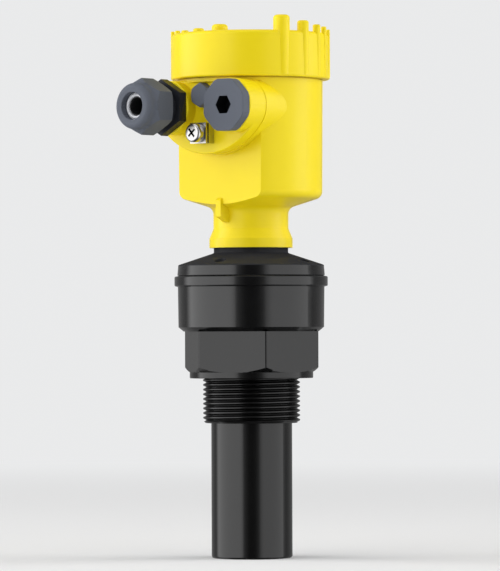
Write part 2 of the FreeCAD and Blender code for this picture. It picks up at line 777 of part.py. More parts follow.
def cut_cavity(body):
    """Hollow the housing: a chamber with one flat side, and a round mouth inside the rim."""
    flat = "(facet_distance - housing_wall)"
    half = f"sqrt({CAVITY_RADIUS} * {CAVITY_RADIUS} - {flat} * {flat})"
    shelf = f"({PORT_HEIGHT} + block_round_radius + housing_wall)"
    chamber = new_sketch(body, "chamber_outline", "XY_Plane", shelf)
    left = FreeCAD.Vector(-value_of(half), -value_of(flat), 0)
    right = FreeCAD.Vector(value_of(half), -value_of(flat), 0)
    radius = value_of(CAVITY_RADIUS)
    start = math.atan2(right.y, right.x)
    end = math.atan2(left.y, left.x) + 2 * math.pi
    circle = Part.Circle(FreeCAD.Vector(), FreeCAD.Vector(0, 0, 1), radius)
    wall = chamber.addGeometry(Part.ArcOfCircle(circle, start, end))
    side = chamber.addGeometry(Part.LineSegment(left, right))
    chamber.addConstraint(Sketcher.Constraint("Coincident", wall, 3, -1, 1))
    chamber.addConstraint(Sketcher.Constraint("Coincident", wall, 1, side, 2))
    chamber.addConstraint(Sketcher.Constraint("Coincident", wall, 2, side, 1))
    chamber.addConstraint(Sketcher.Constraint("Horizontal", side))
    index = chamber.addConstraint(Sketcher.Constraint("DistanceY", -1, 1, side, 1, left.y))
    bind(chamber, f"Constraints[{index}]", f"-{flat}")
    index = chamber.addConstraint(Sketcher.Constraint("Radius", wall, radius))
    bind(chamber, f"Constraints[{index}]", CAVITY_RADIUS)
    extrude(body, "chamber", chamber, f"{shelf} - {FLOOR}", cut=True)
    drill(body, "mouth", [("0", "0")], MOUTH_RADIUS, RIM_TOP, f"{RIM_TOP} - {shelf}")


def cut_ports(body):
    """Two threaded ports with seal recesses, the breather hole and the earth bush hole."""
    spots = [(f"{side} * port_spacing / 2", PORT_HEIGHT) for side in (-1, 1)]
    drill(body, "ports", spots, "port_dia / 2", "port_seat", "port_seat - port_end", "XZ_Plane")
    drill(body, "seal_recesses", spots, "seal_recess_dia / 2", "port_seat", "seal_recess_depth", "XZ_Plane")
    drill(body, "breather_hole", [("0", BREATHER_HEIGHT)], "breather_shank_dia / 2 + fit_gap",
          "block_face", "block_face - facet_distance + housing_wall + 1", "XZ_Plane")
    drill(body, "earth_hole", [("0", EARTH_HEIGHT)], "earth_bush_dia / 2 + fit_gap",
          "block_face", "earth_bush_length", "XZ_Plane")


def make_module():
    """Potted electronics module with its contact board, terminals and screws."""
    body = new_body("electronics_module")
    revolve(body, "module_block", [
        ("0", FLOOR),
        (MODULE_RADIUS, FLOOR),
        (MODULE_RADIUS, f"{MODULE_TOP} - module_edge"),
        (f"{MODULE_RADIUS} - module_edge", MODULE_TOP),
        ("0", MODULE_TOP),
    ])
    flat = new_sketch(body, "module_flat_area", "XZ_Plane", "module_flat")
    low = f"{FLOOR} - 1"
    high = f"{MODULE_TOP} + 1"
    half = f"({MODULE_RADIUS} + 2)"
    draw_outline(flat, [(f"-{half}", low), (half, low), (half, high), (f"-{half}", high)])
    extrude(body, "module_flat_cut", flat, half, cut=True, flip=True)
    drill(body, "module_recess", [("0", "0")], "module_recess_dia / 2", FLOOR, "module_recess_depth", flip=True)
    drill(body, "module_holes", MODULE_SCREWS, "module_screw_dia / 2 + fit_gap", MODULE_TOP,
          "module_screw_length + 0.5")

    board = doc.addObject("Part::Cylinder", "contact_board")
    bind(board, "Radius", "board_dia / 2")
    bind(board, "Height", "board_thick")
    bind(board, "Placement.Base.y", "board_offset")
    bind(board, "Placement.Base.z", MODULE_TOP)
    parts.append(board)
    make_terminal_blocks()

    screws = new_body("module_screws")
    heads = new_sketch(screws, "head_circles", "XY_Plane", MODULE_TOP)
    shanks = new_sketch(screws, "shank_circles", "XY_Plane", MODULE_TOP)
    for x, y in MODULE_SCREWS:
        draw_circle(heads, x, y, "module_screw_head_dia / 2")
        draw_circle(shanks, x, y, "module_screw_dia / 2")
    extrude(screws, "heads", heads, "module_screw_head_height")
    extrude(screws, "shanks", shanks, "module_screw_length", flip=True)


def make_terminal_blocks():
    """Two spring terminal blocks, each with three wire holes towards the ports."""
    body = new_body("terminal_blocks")
    sketch = new_sketch(body, "block_outlines", "XZ_Plane", "terminal_front")
    holes = new_sketch(body, "wire_hole_circles", "XZ_Plane", "terminal_front")
    for side in (-1, 1):
        inner = f"{side} * terminal_gap / 2"
        outer = f"{side} * (terminal_gap / 2 + terminal_length)"
        middle = f"{side} * (terminal_gap / 2 + terminal_length / 2)"
        top = f"{MODULE_TOP} + terminal_height"
        draw_outline(sketch, [(inner, MODULE_TOP), (outer, MODULE_TOP), (outer, top), (inner, top)])
        for place in (-1, 0, 1):
            centre = f"{middle} + {place} * wire_hole_pitch"
            draw_circle(holes, centre, f"{MODULE_TOP} + terminal_height / 2", "wire_hole_dia / 2")
    extrude(body, "blocks", sketch, "terminal_depth", flip=True)
    extrude(body, "wire_holes", holes, "wire_hole_depth", cut=True)


def make_lid():
    """Screw lid with two groups of five columns, and its flat seal on the rim."""
    body = new_body("lid")
    revolve(body, "lid_solid", [
        ("0", LID_LOW),
        (LID_LOW_RADIUS, LID_LOW),
        (LID_TOP_RADIUS, LID_TOP),
        ("0", LID_TOP),
    ])
    round_edges(body, "top_edge", "lid_top_round", ring_edge(LID_TOP_RADIUS, LID_TOP))
    round_edges(body, "low_edge", "lid_low_round", ring_edge(LID_LOW_RADIUS, LID_LOW))
    for column, dia, angle, rise in LID_COLUMNS:
        radius = f"column_{column}_dia / 2"
        reach = f"({COLUMN_REACH} - {radius})"
        sketch = new_sketch(body, f"column_{column}_circles", "XY_Plane", f"{LID_LOW} + lid_low_round")
        for turn in (0, 180):
            step = f"(column_{column}_angle + {turn}) * 1 deg"
            draw_circle(sketch, f"{reach} * cos({step})", f"{reach} * sin({step})", radius)
        length = f"lid_height - lid_low_round + column_{column}_rise"
        extrude(body, f"column_{column}", sketch, length)
        round_edges(body, f"column_{column}_round", f"column_{column}_dia * 0.22",
                    level_edge(f"{LID_TOP} + column_{column}_rise"))
    wall = f"({LID_TOP_RADIUS} - lid_wall)"
    seat = f"{RIM_TOP} + lid_seal_thick"
    ceiling = f"{LID_TOP} - lid_top_thick"
    rib_outer = f"({LID_SEAL_RADIUS} + 0.1)"
    rib_inner = f"({LID_SEAL_RADIUS} - lid_seal_width)"
    revolve(body, "lid_hollow", [
        ("0", f"{LID_LOW} - 1"),
        (LID_BORE, f"{LID_LOW} - 1"),
        (LID_BORE, f"{RIM_TOP} + 0.8"),
        (wall, f"{RIM_TOP} + 1.6"),
        (wall, ceiling),
        (rib_outer, ceiling),
        (rib_outer, seat),
        (rib_inner, seat),
        (rib_inner, ceiling),
        ("0", ceiling),
    ], cut=True)

    seal = new_body("lid_seal")
    revolve(seal, "seal_solid", [
        (rib_inner, RIM_TOP),
        (LID_SEAL_RADIUS, RIM_TOP),
        (LID_SEAL_RADIUS, seat),
        (rib_inner, seat),
    ])


def make_port_seal(label, side):
    """Flat seal in the recess around a port, clear of the screwed shank."""
    body = new_body(label, f"{side} * port_spacing / 2", PORT_HEIGHT, towards_ports=True)
    revolve(body, "seal_solid", [
        ("port_dia / 2", "port_seat - seal_recess_depth"),
        ("port_seal_dia / 2", "port_seat - seal_recess_depth"),
        ("port_seal_dia / 2", "port_seat"),
        ("port_dia / 2", "port_seat"),
    ])


def make_gland():
    """Cable gland: body with clamping fingers, rubber insert, thrust ring and dome nut."""
    place = ("-port_spacing / 2", PORT_HEIGHT, True)
    body = new_body("gland_body", *place)
    socket = "(insert_dia / 2 + thread_gap)"
    finger_root = "port_seat + gland_neck_end - 2"
    revolve(body, "gland_solid", [
        ("gland_bore_dia / 2", "port_seat - gland_shank_length"),
        (THREAD_SHANK, "port_seat - gland_shank_length"),
        (THREAD_SHANK, "port_seat"),
        ("port_seal_dia / 2", "port_seat"),
        ("port_seal_dia / 2", FLANGE_TOP),
        ("port_dia / 2", FLANGE_TOP),
        ("port_dia / 2", "port_seat + gland_neck_end"),
        (THREAD_SHANK, "port_seat + gland_neck_end"),
        (THREAD_SHANK, "port_seat + gland_finger_end"),
        (socket, "port_seat + gland_finger_end"),
        (socket, "port_seat + insert_low"),
        ("gland_bore_dia / 2", "port_seat + insert_low"),
    ])
    prism(body, "flange_hexagon", "gland_flats", 6, "30", "port_seat", "gland_flange_thick",
          hole="port_dia / 2 - 1")
    cut_finger_slots(body, finger_root)

    insert = new_body("gland_insert", *place)
    revolve(insert, "insert_solid", [
        ("insert_bore_dia / 2", "port_seat + insert_low"),
        ("insert_dia / 2", "port_seat + insert_low"),
        ("insert_dia / 2", INSERT_TOP),
        ("insert_bore_dia / 2", INSERT_TOP),
    ])

    ring = new_body("gland_ring", *place)
    revolve(ring, "ring_solid", [
        ("insert_bore_dia / 2", INSERT_TOP),
        ("insert_dia / 2", INSERT_TOP),
        ("insert_dia / 2", "port_seat + insert_end"),
        ("gland_ring_mouth_dia / 2", "port_seat + insert_end"),
    ])
    make_gland_nut(place)


def cut_finger_slots(body, root):
    """Slot the front of the gland body into eight clamping fingers."""
    sketch = new_sketch(body, "slot_outline", "XY_Plane", "port_seat + gland_finger_end")
    inner = "insert_dia / 2 - 1"
    outer = "port_dia / 2 + 1"
    half = "gland_finger_slot / 2"
    draw_outline(sketch, [(inner, f"-{half}"), (outer, f"-{half}"), (outer, half), (inner, half)])
    slot = extrude(body, "finger_slot", sketch, f"port_seat + gland_finger_end - ({root})", cut=True)
    pattern = body.newObject("PartDesign::PolarPattern", "finger_slots")
    pattern.Originals = [slot]
    pattern.Axis = (sketch, ["N_Axis"])
    pattern.Angle = 360
    pattern.Occurrences = 8
    body.Tip = pattern


def make_gland_nut(place):
    """Dome nut: hexagon, chamfered corners, round nose and a mouth smaller than the insert."""
    nut = new_body("gland_nut", *place)
    low = "(port_seat + nut_low)"
    hex_end = "(port_seat + nut_hex_end)"
    end = "(port_seat + nut_end)"
    prism(nut, "nut_hexagon", "gland_flats", 6, "30", low, "nut_hex_end - nut_low")
    nose = new_sketch(nut, "nose_circle", "XY_Plane", hex_end)
    draw_circle(nose, "0", "0", "nut_nose_dia / 2")
    extrude(nut, "nose", nose, "nut_end - nut_hex_end")
    round_edges(nut, "nose_round", "nut_nose_round", ring_edge("nut_nose_dia / 2", end))
    corner = "(gland_flats / 2 / cos(30 deg) + 0.5)"
    revolve(nut, "corner_chamfer", [
        ("nut_nose_dia / 2", hex_end),
        (corner, f"{hex_end} - {corner} + nut_nose_dia / 2"),
        (corner, hex_end),
    ], cut=True)
    revolve(nut, "rear_chamfer", [
        ("gland_flats / 2 + 0.4", low),
        (corner, low),
        (corner, f"{low} + ({corner} - gland_flats / 2 - 0.4) * 0.6"),
    ], cut=True)
    clear = "(insert_dia / 2 + thread_gap)"
    revolve(nut, "nut_hollow", [
        ("0", f"{low} - 1"),
        ("port_dia / 2 + thread_gap", f"{low} - 1"),
        ("port_dia / 2 + thread_gap", "port_seat + nut_cone_start"),
        (clear, "port_seat + insert_end - 0.5"),
        (clear, "port_seat + insert_end"),
        ("nut_mouth_dia / 2", "port_seat + insert_end"),
        ("nut_mouth_dia / 2", f"{end} + 1"),
        ("0", f"{end} + 1"),
    ], cut=True)


def make_blind_plug():
    """Blind plug with an eight sided head and a hexagon socket."""
    plug = new_body("blind_plug", "port_spacing / 2", PORT_HEIGHT, True)
    prism(plug, "head", "plug_head_flats", 8, "22.5", "port_seat", "plug_head_thick")
    outer = "plug_head_flats / 2 / cos(22.5 deg) + 0.5"
    revolve(plug, "head_corners", [
        ("plug_head_dia / 2", "port_seat - 0.5"),
        (outer, "port_seat - 0.5"),
        (outer, "port_seat + plug_head_thick + 0.5"),
        ("plug_head_dia / 2", "port_seat + plug_head_thick + 0.5"),
    ], cut=True)
    round_edges(plug, "head_edge", "plug_edge", level_edge("port_seat + plug_head_thick"))
    shank = new_sketch(plug, "shank_circle", "XY_Plane", "port_seat")
    draw_circle(shank, "0", "0", THREAD_SHANK)
    extrude(plug, "shank", shank, "plug_shank_length", flip=True)
    socket = new_sketch(plug, "socket_outline", "XY_Plane", "port_seat + plug_head_thick")
    draw_outline(socket, corners("plug_socket_flats", 6, "0"))
    extrude(plug, "socket", socket, "plug_socket_depth", cut=True)


def make_breather():
    """Pressure equalising plug between the ports, with its membrane at the inner end."""
    body = new_body("breather", "0", BREATHER_HEIGHT, True)
    prism(body, "breather_head", "breather_flats", 6, "30", "block_face", "breather_length")
    corner = "(breather_flats / 2 / cos(30 deg) + 0.4)"
    top = "block_face + breather_length"
    revolve(body, "breather_chamfer", [
        ("breather_flats / 2 - 0.4", top),
        (corner, f"{top} - ({corner} - breather_flats / 2 + 0.4) * 0.7"),
        (corner, top),
    ], cut=True)
    shank = new_sketch(body, "shank_circle", "XY_Plane", "block_face")
    draw_circle(shank, "0", "0", "breather_shank_dia / 2")
    extrude(body, "breather_shank", shank, "breather_shank_length", flip=True)
    low = "block_face - breather_shank_length"
    drill(body, "breather_bore", [("0", "0")], "breather_bore_dia / 2", low,
          "breather_shank_length + breather_length - 2", flip=True)
    vent = new_sketch(body, "vent_circle", "YZ_Plane")
    draw_circle(vent, "0", "block_face + breather_length - 3", "breather_bore_dia / 4")
    extrude(body, "side_vents", vent, "breather_flats + 2", cut=True, middle=True)

    membrane = new_body("breather_membrane", "0", BREATHER_HEIGHT, True)
    revolve(membrane, "membrane_solid", [
        ("0", f"{low} - membrane_thick"),
        ("breather_shank_dia / 2", f"{low} - membrane_thick"),
        ("breather_shank_dia / 2", low),
        ("0", low),
    ])


def make_square_plate(body, name, low, thick):
    """Pad a square plate with the clearance hole of the earth screw."""
    sketch = new_sketch(body, name + "_outline", "XY_Plane", low)
    half = "earth_plate / 2"
    draw_outline(sketch, [(f"-{half}", f"-{half}"), (half, f"-{half}"), (half, half), (f"-{half}", half)])
    draw_circle(sketch, "0", "0", "earth_screw_dia / 2 + thread_gap")
    return extrude(body, name, sketch, thick)


def make_washer(body, dia, low, top):
    """Turn a flat washer with the clearance hole of the earth screw."""
    revolve(body, "washer_solid", [
        ("earth_screw_dia / 2 + thread_gap", low),
        (f"{dia} / 2", low),
        (f"{dia} / 2", top),
        ("earth_screw_dia / 2 + thread_gap", top),
    ])


def make_earth_terminal():
    """Outer earth terminal: base with bush, clamping plates, washers and cross recess screw."""
    place = ("0", EARTH_HEIGHT, True)
    base = new_body("earth_base", *place)
    make_square_plate(base, "base_plate", "block_face", "earth_base_thick")
    bush = new_sketch(base, "bush_circles", "XY_Plane", "block_face")
    draw_circle(bush, "0", "0", "earth_bush_dia / 2")
    draw_circle(bush, "0", "0", "earth_screw_dia / 2 + thread_gap")
    extrude(base, "bush", bush, "earth_bush_length", flip=True)

    plates = new_body("earth_clamp_plates", *place)
    rear_low = "block_face + earth_base_thick"
    make_square_plate(plates, "rear_plate", rear_low, "earth_plate_thick")
    front_low = f"{rear_low} + earth_plate_thick + earth_washer_thick"
    make_square_plate(plates, "front_plate", front_low, "earth_plate_thick")

    washer_low = f"{rear_low} + earth_plate_thick"
    make_washer(new_body("earth_washer", *place), "earth_washer_dia", washer_low, front_low)
    make_washer(new_body("earth_lock_washer", *place), "earth_lock_dia", LOCK_LOW, EARTH_TOP)

    screw = new_body("earth_screw", *place)
    revolve(screw, "screw_solid", [
        ("0", f"{EARTH_TOP} - earth_screw_length"),
        ("earth_screw_dia / 2", f"{EARTH_TOP} - earth_screw_length"),
        ("earth_screw_dia / 2", EARTH_TOP),
        ("earth_head_dia / 2", EARTH_TOP),
        ("earth_head_dia / 2", f"{EARTH_TOP} + earth_head_height"),
        ("0", f"{EARTH_TOP} + earth_head_height"),
    ])
    head_top = f"{EARTH_TOP} + earth_head_height"
    round_edges(screw, "head_round", "earth_head_round", ring_edge("earth_head_dia / 2", head_top))
    cross = new_sketch(screw, "cross_outline", "XY_Plane", head_top)
    arm = "earth_cross_width / 2"
    tip = "earth_cross_span / 2"
    draw_outline(cross, [
        (arm, arm), (tip, arm), (tip, f"-{arm}"), (arm, f"-{arm}"), (arm, f"-{tip}"), (f"-{arm}", f"-{tip}"),
        (f"-{arm}", f"-{arm}"), (f"-{tip}", f"-{arm}"), (f"-{tip}", arm), (f"-{arm}", arm), (f"-{arm}", tip),
        (arm, tip),
    ])
    extrude(screw, "cross_recess", cross, "earth_cross_depth", cut=True)


def check_document():
    """Stop if any object failed or a part's shape is missing or not valid."""
    for item in doc.Objects:
        states = set(item.State)
        if states & {"Invalid", "Error"}:
            raise RuntimeError(f"{item.Label} failed: {item.State}")
    for part in parts:
        if part.Shape.isNull() or not part.Shape.isValid():
            raise RuntimeError(f"{part.Label} has no valid shape")


def write_parts():
    """Write each part to its own file."""
    os.makedirs("parts", exist_ok=True)
    for part in parts:
        part.Shape.exportStep(os.path.join("parts", part.Label + ".step"))
        print(f"{part.Label}: {len(part.Shape.Solids)} solid(s), {part.Shape.Volume:.1f} mm3")


def main():
    """Build every part, check the document and write the files."""
    fill_sheet()
    make_process_fitting()
    make_transducer_tube()
    make_sound_stack()
    make_collar()
    make_collar_gasket()
    make_collar_cap()
    make_cap_screws()
    make_swivel_seal()
    make_retaining_ring()
    make_housing()
    make_module()
    make_lid()
    make_port_seal("gland_seal", -1)
    make_gland()
    make_port_seal("plug_seal", 1)
    make_blind_plug()
    make_breather()
    make_earth_terminal()
    doc.recompute()
    check_document()
    write_parts()


main()
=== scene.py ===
"""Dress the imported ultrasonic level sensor: finishes, threads, small fittings, studio and camera."""

import logging
import math
from collections.abc import Callable, Iterator
from contextlib import contextmanager
from dataclasses import dataclass, field, replace
from enum import Enum

import bpy
from mathutils import Matrix, Vector


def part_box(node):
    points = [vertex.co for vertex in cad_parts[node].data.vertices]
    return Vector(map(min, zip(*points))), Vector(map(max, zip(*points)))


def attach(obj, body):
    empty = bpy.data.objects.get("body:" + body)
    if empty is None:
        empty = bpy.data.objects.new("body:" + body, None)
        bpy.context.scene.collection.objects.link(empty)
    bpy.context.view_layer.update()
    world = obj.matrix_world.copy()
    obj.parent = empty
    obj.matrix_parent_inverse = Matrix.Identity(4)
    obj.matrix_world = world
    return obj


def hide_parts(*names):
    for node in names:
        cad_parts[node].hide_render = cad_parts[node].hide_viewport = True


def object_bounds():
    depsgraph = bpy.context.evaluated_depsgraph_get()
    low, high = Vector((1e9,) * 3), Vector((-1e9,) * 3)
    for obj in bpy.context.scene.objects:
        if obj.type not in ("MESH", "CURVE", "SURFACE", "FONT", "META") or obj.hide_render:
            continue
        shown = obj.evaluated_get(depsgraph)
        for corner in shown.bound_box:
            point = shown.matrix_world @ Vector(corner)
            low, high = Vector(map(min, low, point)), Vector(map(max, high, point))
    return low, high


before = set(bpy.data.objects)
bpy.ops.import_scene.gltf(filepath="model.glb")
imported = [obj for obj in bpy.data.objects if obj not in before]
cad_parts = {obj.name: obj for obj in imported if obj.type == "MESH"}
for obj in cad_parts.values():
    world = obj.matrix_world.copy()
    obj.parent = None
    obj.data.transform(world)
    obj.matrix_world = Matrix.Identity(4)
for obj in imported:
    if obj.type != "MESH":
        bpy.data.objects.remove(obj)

CAD_BOX = [list(corner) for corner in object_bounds()]
log = logging.getLogger("level_sensor")

MM = 0.001
UP = Vector((0, 0, 1))
TOWARDS_PORTS = Vector((0, -1, 0))

# How near counts as the same: merged points, a cut, two places, and two faces of one flat side
MERGE = 0.001 * MM
CUT = 0.0001 * MM
TOUCH = 0.01 * MM
FLAT = math.radians(0.4)

Colour = tuple[float, float, float]
Outline = list[tuple[float, float]]


def middle(node: str) -> Vector:
    """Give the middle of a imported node's box at rest."""
    low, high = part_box(node)
    return (Vector(low) + Vector(high)) / 2


def front(node: str) -> float:
    """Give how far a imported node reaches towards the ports, as its lowest Y."""
    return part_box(node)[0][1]


def top(node: str) -> float:
    """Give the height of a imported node's top."""
    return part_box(node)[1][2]


class Signal:
    """A value on its way through a material's nodes, with its maths written as Python."""

    def __init__(self, book: "NodeBook", socket: bpy.types.NodeSocket) -> None:
        """Keep the node book and the output socket."""
        self.book = book
        self.socket = socket

    def _maths(self, operation: str, first: "Signal | float", second: "Signal | float") -> "Signal":
        """Add one Math node for a named sum of two values or links."""
        return self.book.node("ShaderNodeMath", {"operation": operation}, {0: first, 1: second})

    def __add__(self, other: "Signal | float") -> "Signal":
        """Add."""
        return self._maths("ADD", self, other)

    def __radd__(self, other: float) -> "Signal":
        """Add to a number."""
        return self._maths("ADD", other, self)

    def __sub__(self, other: "Signal | float") -> "Signal":
        """Subtract."""
        return self._maths("SUBTRACT", self, other)

    def __rsub__(self, other: float) -> "Signal":
        """Subtract from a number."""
        return self._maths("SUBTRACT", other, self)

    def __mul__(self, other: "Signal | float") -> "Signal":
        """Multiply."""
        return self._maths("MULTIPLY", self, other)

    def __rmul__(self, other: float) -> "Signal":
        """Multiply a number."""
        return self._maths("MULTIPLY", other, self)

    def __gt__(self, other: "Signal | float") -> "Signal":
        """Give 1 where this is greater."""
        return self._maths("GREATER_THAN", self, other)

    def __abs__(self) -> "Signal":
        """Drop the sign."""
        return self.book.node("ShaderNodeMath", {"operation": "ABSOLUTE"}, {0: self})

    def fade(self, start: float, end: float) -> "Signal":
        """Rise smoothly from 0 at start to 1 at end, clamped outside."""
        return self.book.node(
            "ShaderNodeMapRange", {"interpolation_type": "SMOOTHSTEP"},
            {"Value": self, "From Min": start, "From Max": end},
        )


class NodeBook:
    """The nodes of one material or world."""

    def __init__(self, tree: bpy.types.NodeTree) -> None:
        """Start with an empty tree."""
        self.tree = tree
        tree.nodes.clear()

    def node(self, kind: str, settings: dict | None = None, inputs: dict | None = None,
             output: str | int = 0) -> Signal | None:
        """Add a node, set it up and link it.

        Args:
            kind: The node's type.
            settings: Properties that are set first.
            inputs: Values or links by socket name or number.
            output: The output that is wanted.

        Returns:
            The node's output, or None for a node that has none.
        """
        made = self.tree.nodes.new(kind)
        for name, value in (settings or {}).items():
            setattr(made, name, value)
        for name, value in (inputs or {}).items():
            if isinstance(value, Signal):
                self.tree.links.new(value.socket, made.inputs[name])
            else:
                made.inputs[name].default_value = value
        return Signal(self, made.outputs[output]) if len(made.outputs) else None

    def place(self) -> Signal:
        """Give the Object coordinates in metres."""
        return self.node("ShaderNodeTexCoord", output="Object")

    def along(self, axis: str) -> Signal:
        """Give one of the Object coordinates, X, Y or Z."""
        return self.node("ShaderNodeSeparateXYZ", None, {"Vector": self.place()}, output=axis)

    def noise(self, size: float, detail: float = 2.0, rough: float = 0.5,
              stretch: tuple = (1, 1, 1)) -> Signal:
        """Give soft noise from 0 to 1.

        Args:
            size: The size of one cell in metres.
            detail: The number of finer layers.
            rough: The share of the finer layers.
            stretch: A factor on the frequency along each axis.

        Returns:
            The noise value.
        """
        place = self.node("ShaderNodeMapping", None, {"Vector": self.place(), "Scale": stretch})
        return self.node("ShaderNodeTexNoise", None, {
            "Vector": place, "Scale": 1 / size, "Detail": detail, "Roughness": rough})

    def mix(self, share: "Signal | float", first: "Signal | Colour", second: "Signal | Colour") -> Signal:
        """Mix two colours by a share."""
        ends = [end if isinstance(end, Signal) else (*end, 1.0) for end in (first, second)]
        return self.node("ShaderNodeMix", {"data_type": "RGBA"}, {0: share, 6: ends[0], 7: ends[1]}, output=2)

    def blend(self, share: Signal, first: Signal, second: Signal) -> Signal:
        """Mix two shaders by a share."""
        return self.node("ShaderNodeMixShader", None, {0: share, 1: first, 2: second})

    def glow(self, kind: str, colour: Colour, strength: float = 1.0) -> Signal:
        """Give the light of an Emission or Background node."""
        return self.node(f"ShaderNode{kind}", None, {"Color": (*colour, 1.0), "Strength": strength})

    def bump(self, height: Signal, depth: float, under: "Signal | None" = None) -> Signal:
        """Turn a height from 0 to 1 into a bumped normal.

        Args:
            height: The height.
            depth: The depth in metres.
            under: A normal that this one is laid on.

        Returns:
            The normal.
        """
        inputs = {"Strength": 1.0, "Distance": depth, "Height": height}
        if under is not None:
            inputs["Normal"] = under
        return self.node("ShaderNodeBump", None, inputs)


def new_material(title: str) -> tuple[bpy.types.Material, NodeBook]:
    """Make a material with no nodes yet.

    Args:
        title: The material's name.

    Returns:
        The material and its node book.
    """
    material = bpy.data.materials.new(title)
    material.use_nodes = True
    return material, NodeBook(material.node_tree)


@dataclass(frozen=True)
class PaintedSocketShade:
    """A tool's socket in the middle of a node's front, with painted shade that makes it near black inside.

    It reaches so far from the node's axis, and the painted shade starts a lip behind its front. Rim and sink
    are the width and the depth over which the painted shade fades in.
    """

    node: str
    reach: float
    lip: float
    rim: float = 0.05 * MM
    sink: float = 0.3 * MM
    # The colour of the painted shade inside the socket
    colour: Colour = (0.006, 0.0065, 0.008)

    def paint_socket_shade(self, book: NodeBook, colour: Signal) -> Signal:
        """Paint shade on a colour, darkening it behind the socket's lip and within its reach of the axis.

        Args:
            book: The material's nodes.
            colour: The colour of the rest.

        Returns:
            The colour with the painted socket shade.
        """
        centre = middle(self.node)
        flat = book.node("ShaderNodeVectorMath", {"operation": "MULTIPLY"}, {0: book.place(), 1: (1, 0, 1)})
        away = book.node("ShaderNodeVectorMath", {"operation": "DISTANCE"},
                         {0: flat, 1: (centre.x, 0, centre.z)}, output="Value")
        start = front(self.node) + self.lip
        shaded_depth = book.along("Y").fade(start, start + self.sink)
        return book.mix(away.fade(self.reach + self.rim, self.reach) * shaded_depth, colour, self.colour)


@dataclass(frozen=True)
class Finish:
    """A finish with its plain shader values.

    The slot is a slot name other than the finish's own; nothing reads it. In each kind, drift is how far the
    colour varies as a share, and rough_spread how far the roughness does.
    """

    name: str
    colour: Colour
    rough: float = 0.4
    metallic: float = 0.0
    shine: float = 0.5
    slot: str = ""
    # Painted shade in a tool's socket, if the finish has one
    socket: PaintedSocketShade | None = None

    def surface(self, book: NodeBook) -> dict:
        """Give the sockets that vary over the surface; each kind of finish has its own."""
        raise NotImplementedError

    def material(self) -> bpy.types.Material:
        """Make the material, or give the one that was made before.

        Returns:
            The material.
        """
        title = "finish_" + self.name
        if title in bpy.data.materials:
            return bpy.data.materials[title]
        made, book = new_material(title)
        book.node("ShaderNodeOutputMaterial", None, {"Surface": self.shader(book)})
        return made

    def shader(self, book: NodeBook) -> Signal:
        """Give the shader with the plain values and what varies over the surface.

        Args:
            book: The material's nodes.

        Returns:
            The shader.
        """
        values = {"Metallic": self.metallic, "Roughness": self.rough, "Specular IOR Level": self.shine}
        values.update(self.surface(book))
        # Paint shade into the socket's colour
        if self.socket:
            values["Base Color"] = self.socket.paint_socket_shade(book, values["Base Color"])
        return book.node("ShaderNodeBsdfPrincipled", None, values)

    def shades(self, book: NodeBook, mask: Signal, change: float) -> Signal:
        """Let the colour drift lighter and darker.

        Args:
            book: The material's nodes.
            mask: What leads the drift, from 0, dark, to 1, light.
            change: The share by which the colour drifts each way.

        Returns:
            The colour.
        """
        low = tuple(c * (1 - change) for c in self.colour)
        high = tuple(min(1.0, c * (1 + change)) for c in self.colour)
        return book.mix(mask, low, high)


@dataclass(frozen=True)
class MouldedPlastic(Finish):
    """Injection moulded plastic: spark eroded grain, slow flow clouds and a faint orange peel.

    The orange peel's size is in grains, and rub is how many rubbed places lie across a cloud.
    """

    grain: float = 0.35 * MM
    grain_depth: float = 0.006 * MM
    peel: float = 9
    cloud: float = 18 * MM
    rub: float = 3
    drift: float = 0.03
    rough_spread: float = 0.05
    matt_above: float = 1.0
    matt_fade: float = 0.4 * MM
    matt_share: float = 0.0
    matt_colour: Colour = (0.05, 0.05, 0.05)

    def surface(self, book: NodeBook) -> dict:
        """Vary the moulding.

        Args:
            book: The material's nodes.

        Returns:
            What varies, by socket name.
        """
        clouds = book.noise(self.cloud, detail=3)
        grain = book.noise(self.grain, rough=0.6)
        peel = book.noise(self.grain * self.peel, detail=1)
        rubbed = book.noise(self.cloud / self.rub, detail=4, rough=0.6).fade(start=0.35, end=0.7)
        return {
            "Base Color": self.shades(book, clouds, self.drift),
            "Roughness": self.rough + (rubbed - 0.5) * self.rough_spread,
            "Normal": book.bump(grain, self.grain_depth, book.bump(peel, self.grain_depth * 2)),
        }

    def shader(self, book: NodeBook) -> Signal:
        """Give the moulding's shader, matt above a height where the mould was blasted.

        Args:
            book: The material's nodes.

        Returns:
            The shader.
        """
        gloss = super().shader(book)
        if not self.matt_share:
            return gloss
        blasted = book.along("Z").fade(self.matt_above, self.matt_above + self.matt_fade)
        matt = book.node("ShaderNodeBsdfDiffuse", None, {"Color": (*self.matt_colour, 1.0)})
        return book.blend(blasted * self.matt_share, gloss, matt)


@dataclass(frozen=True)
class TurnedPlastic(Finish):
    """Black fluoropolymer with fine tool rings around the axis and a greasy sheen."""

    ring: float = 0.25 * MM
    ring_depth: float = 0.002 * MM
    film: float = 14 * MM
    scuff: float = 1.2 * MM
    drift: float = 0.25
    rough_spread: float = 0.08
    scuff_rough: float = 0.05

    def surface(self, book: NodeBook) -> dict:
        """Vary the turned surface.

        Args:
            book: The material's nodes.

        Returns:
            What varies, by socket name.
        """
        rings = book.noise(self.ring, rough=0.6, stretch=(0.02, 0.02, 1))
        film = book.noise(self.film, detail=4, rough=0.55, stretch=(1, 1, 0.35))
        marks = book.noise(self.scuff, detail=3, rough=0.7, stretch=(0.15, 0.15, 1))
        scuffs = marks.fade(start=0.62, end=0.8)
        return {
            "Base Color": self.shades(book, film, self.drift),
            "Roughness": self.rough + (film - 0.5) * self.rough_spread + scuffs * self.scuff_rough,
            "Normal": book.bump(rings, self.ring_depth),
        }


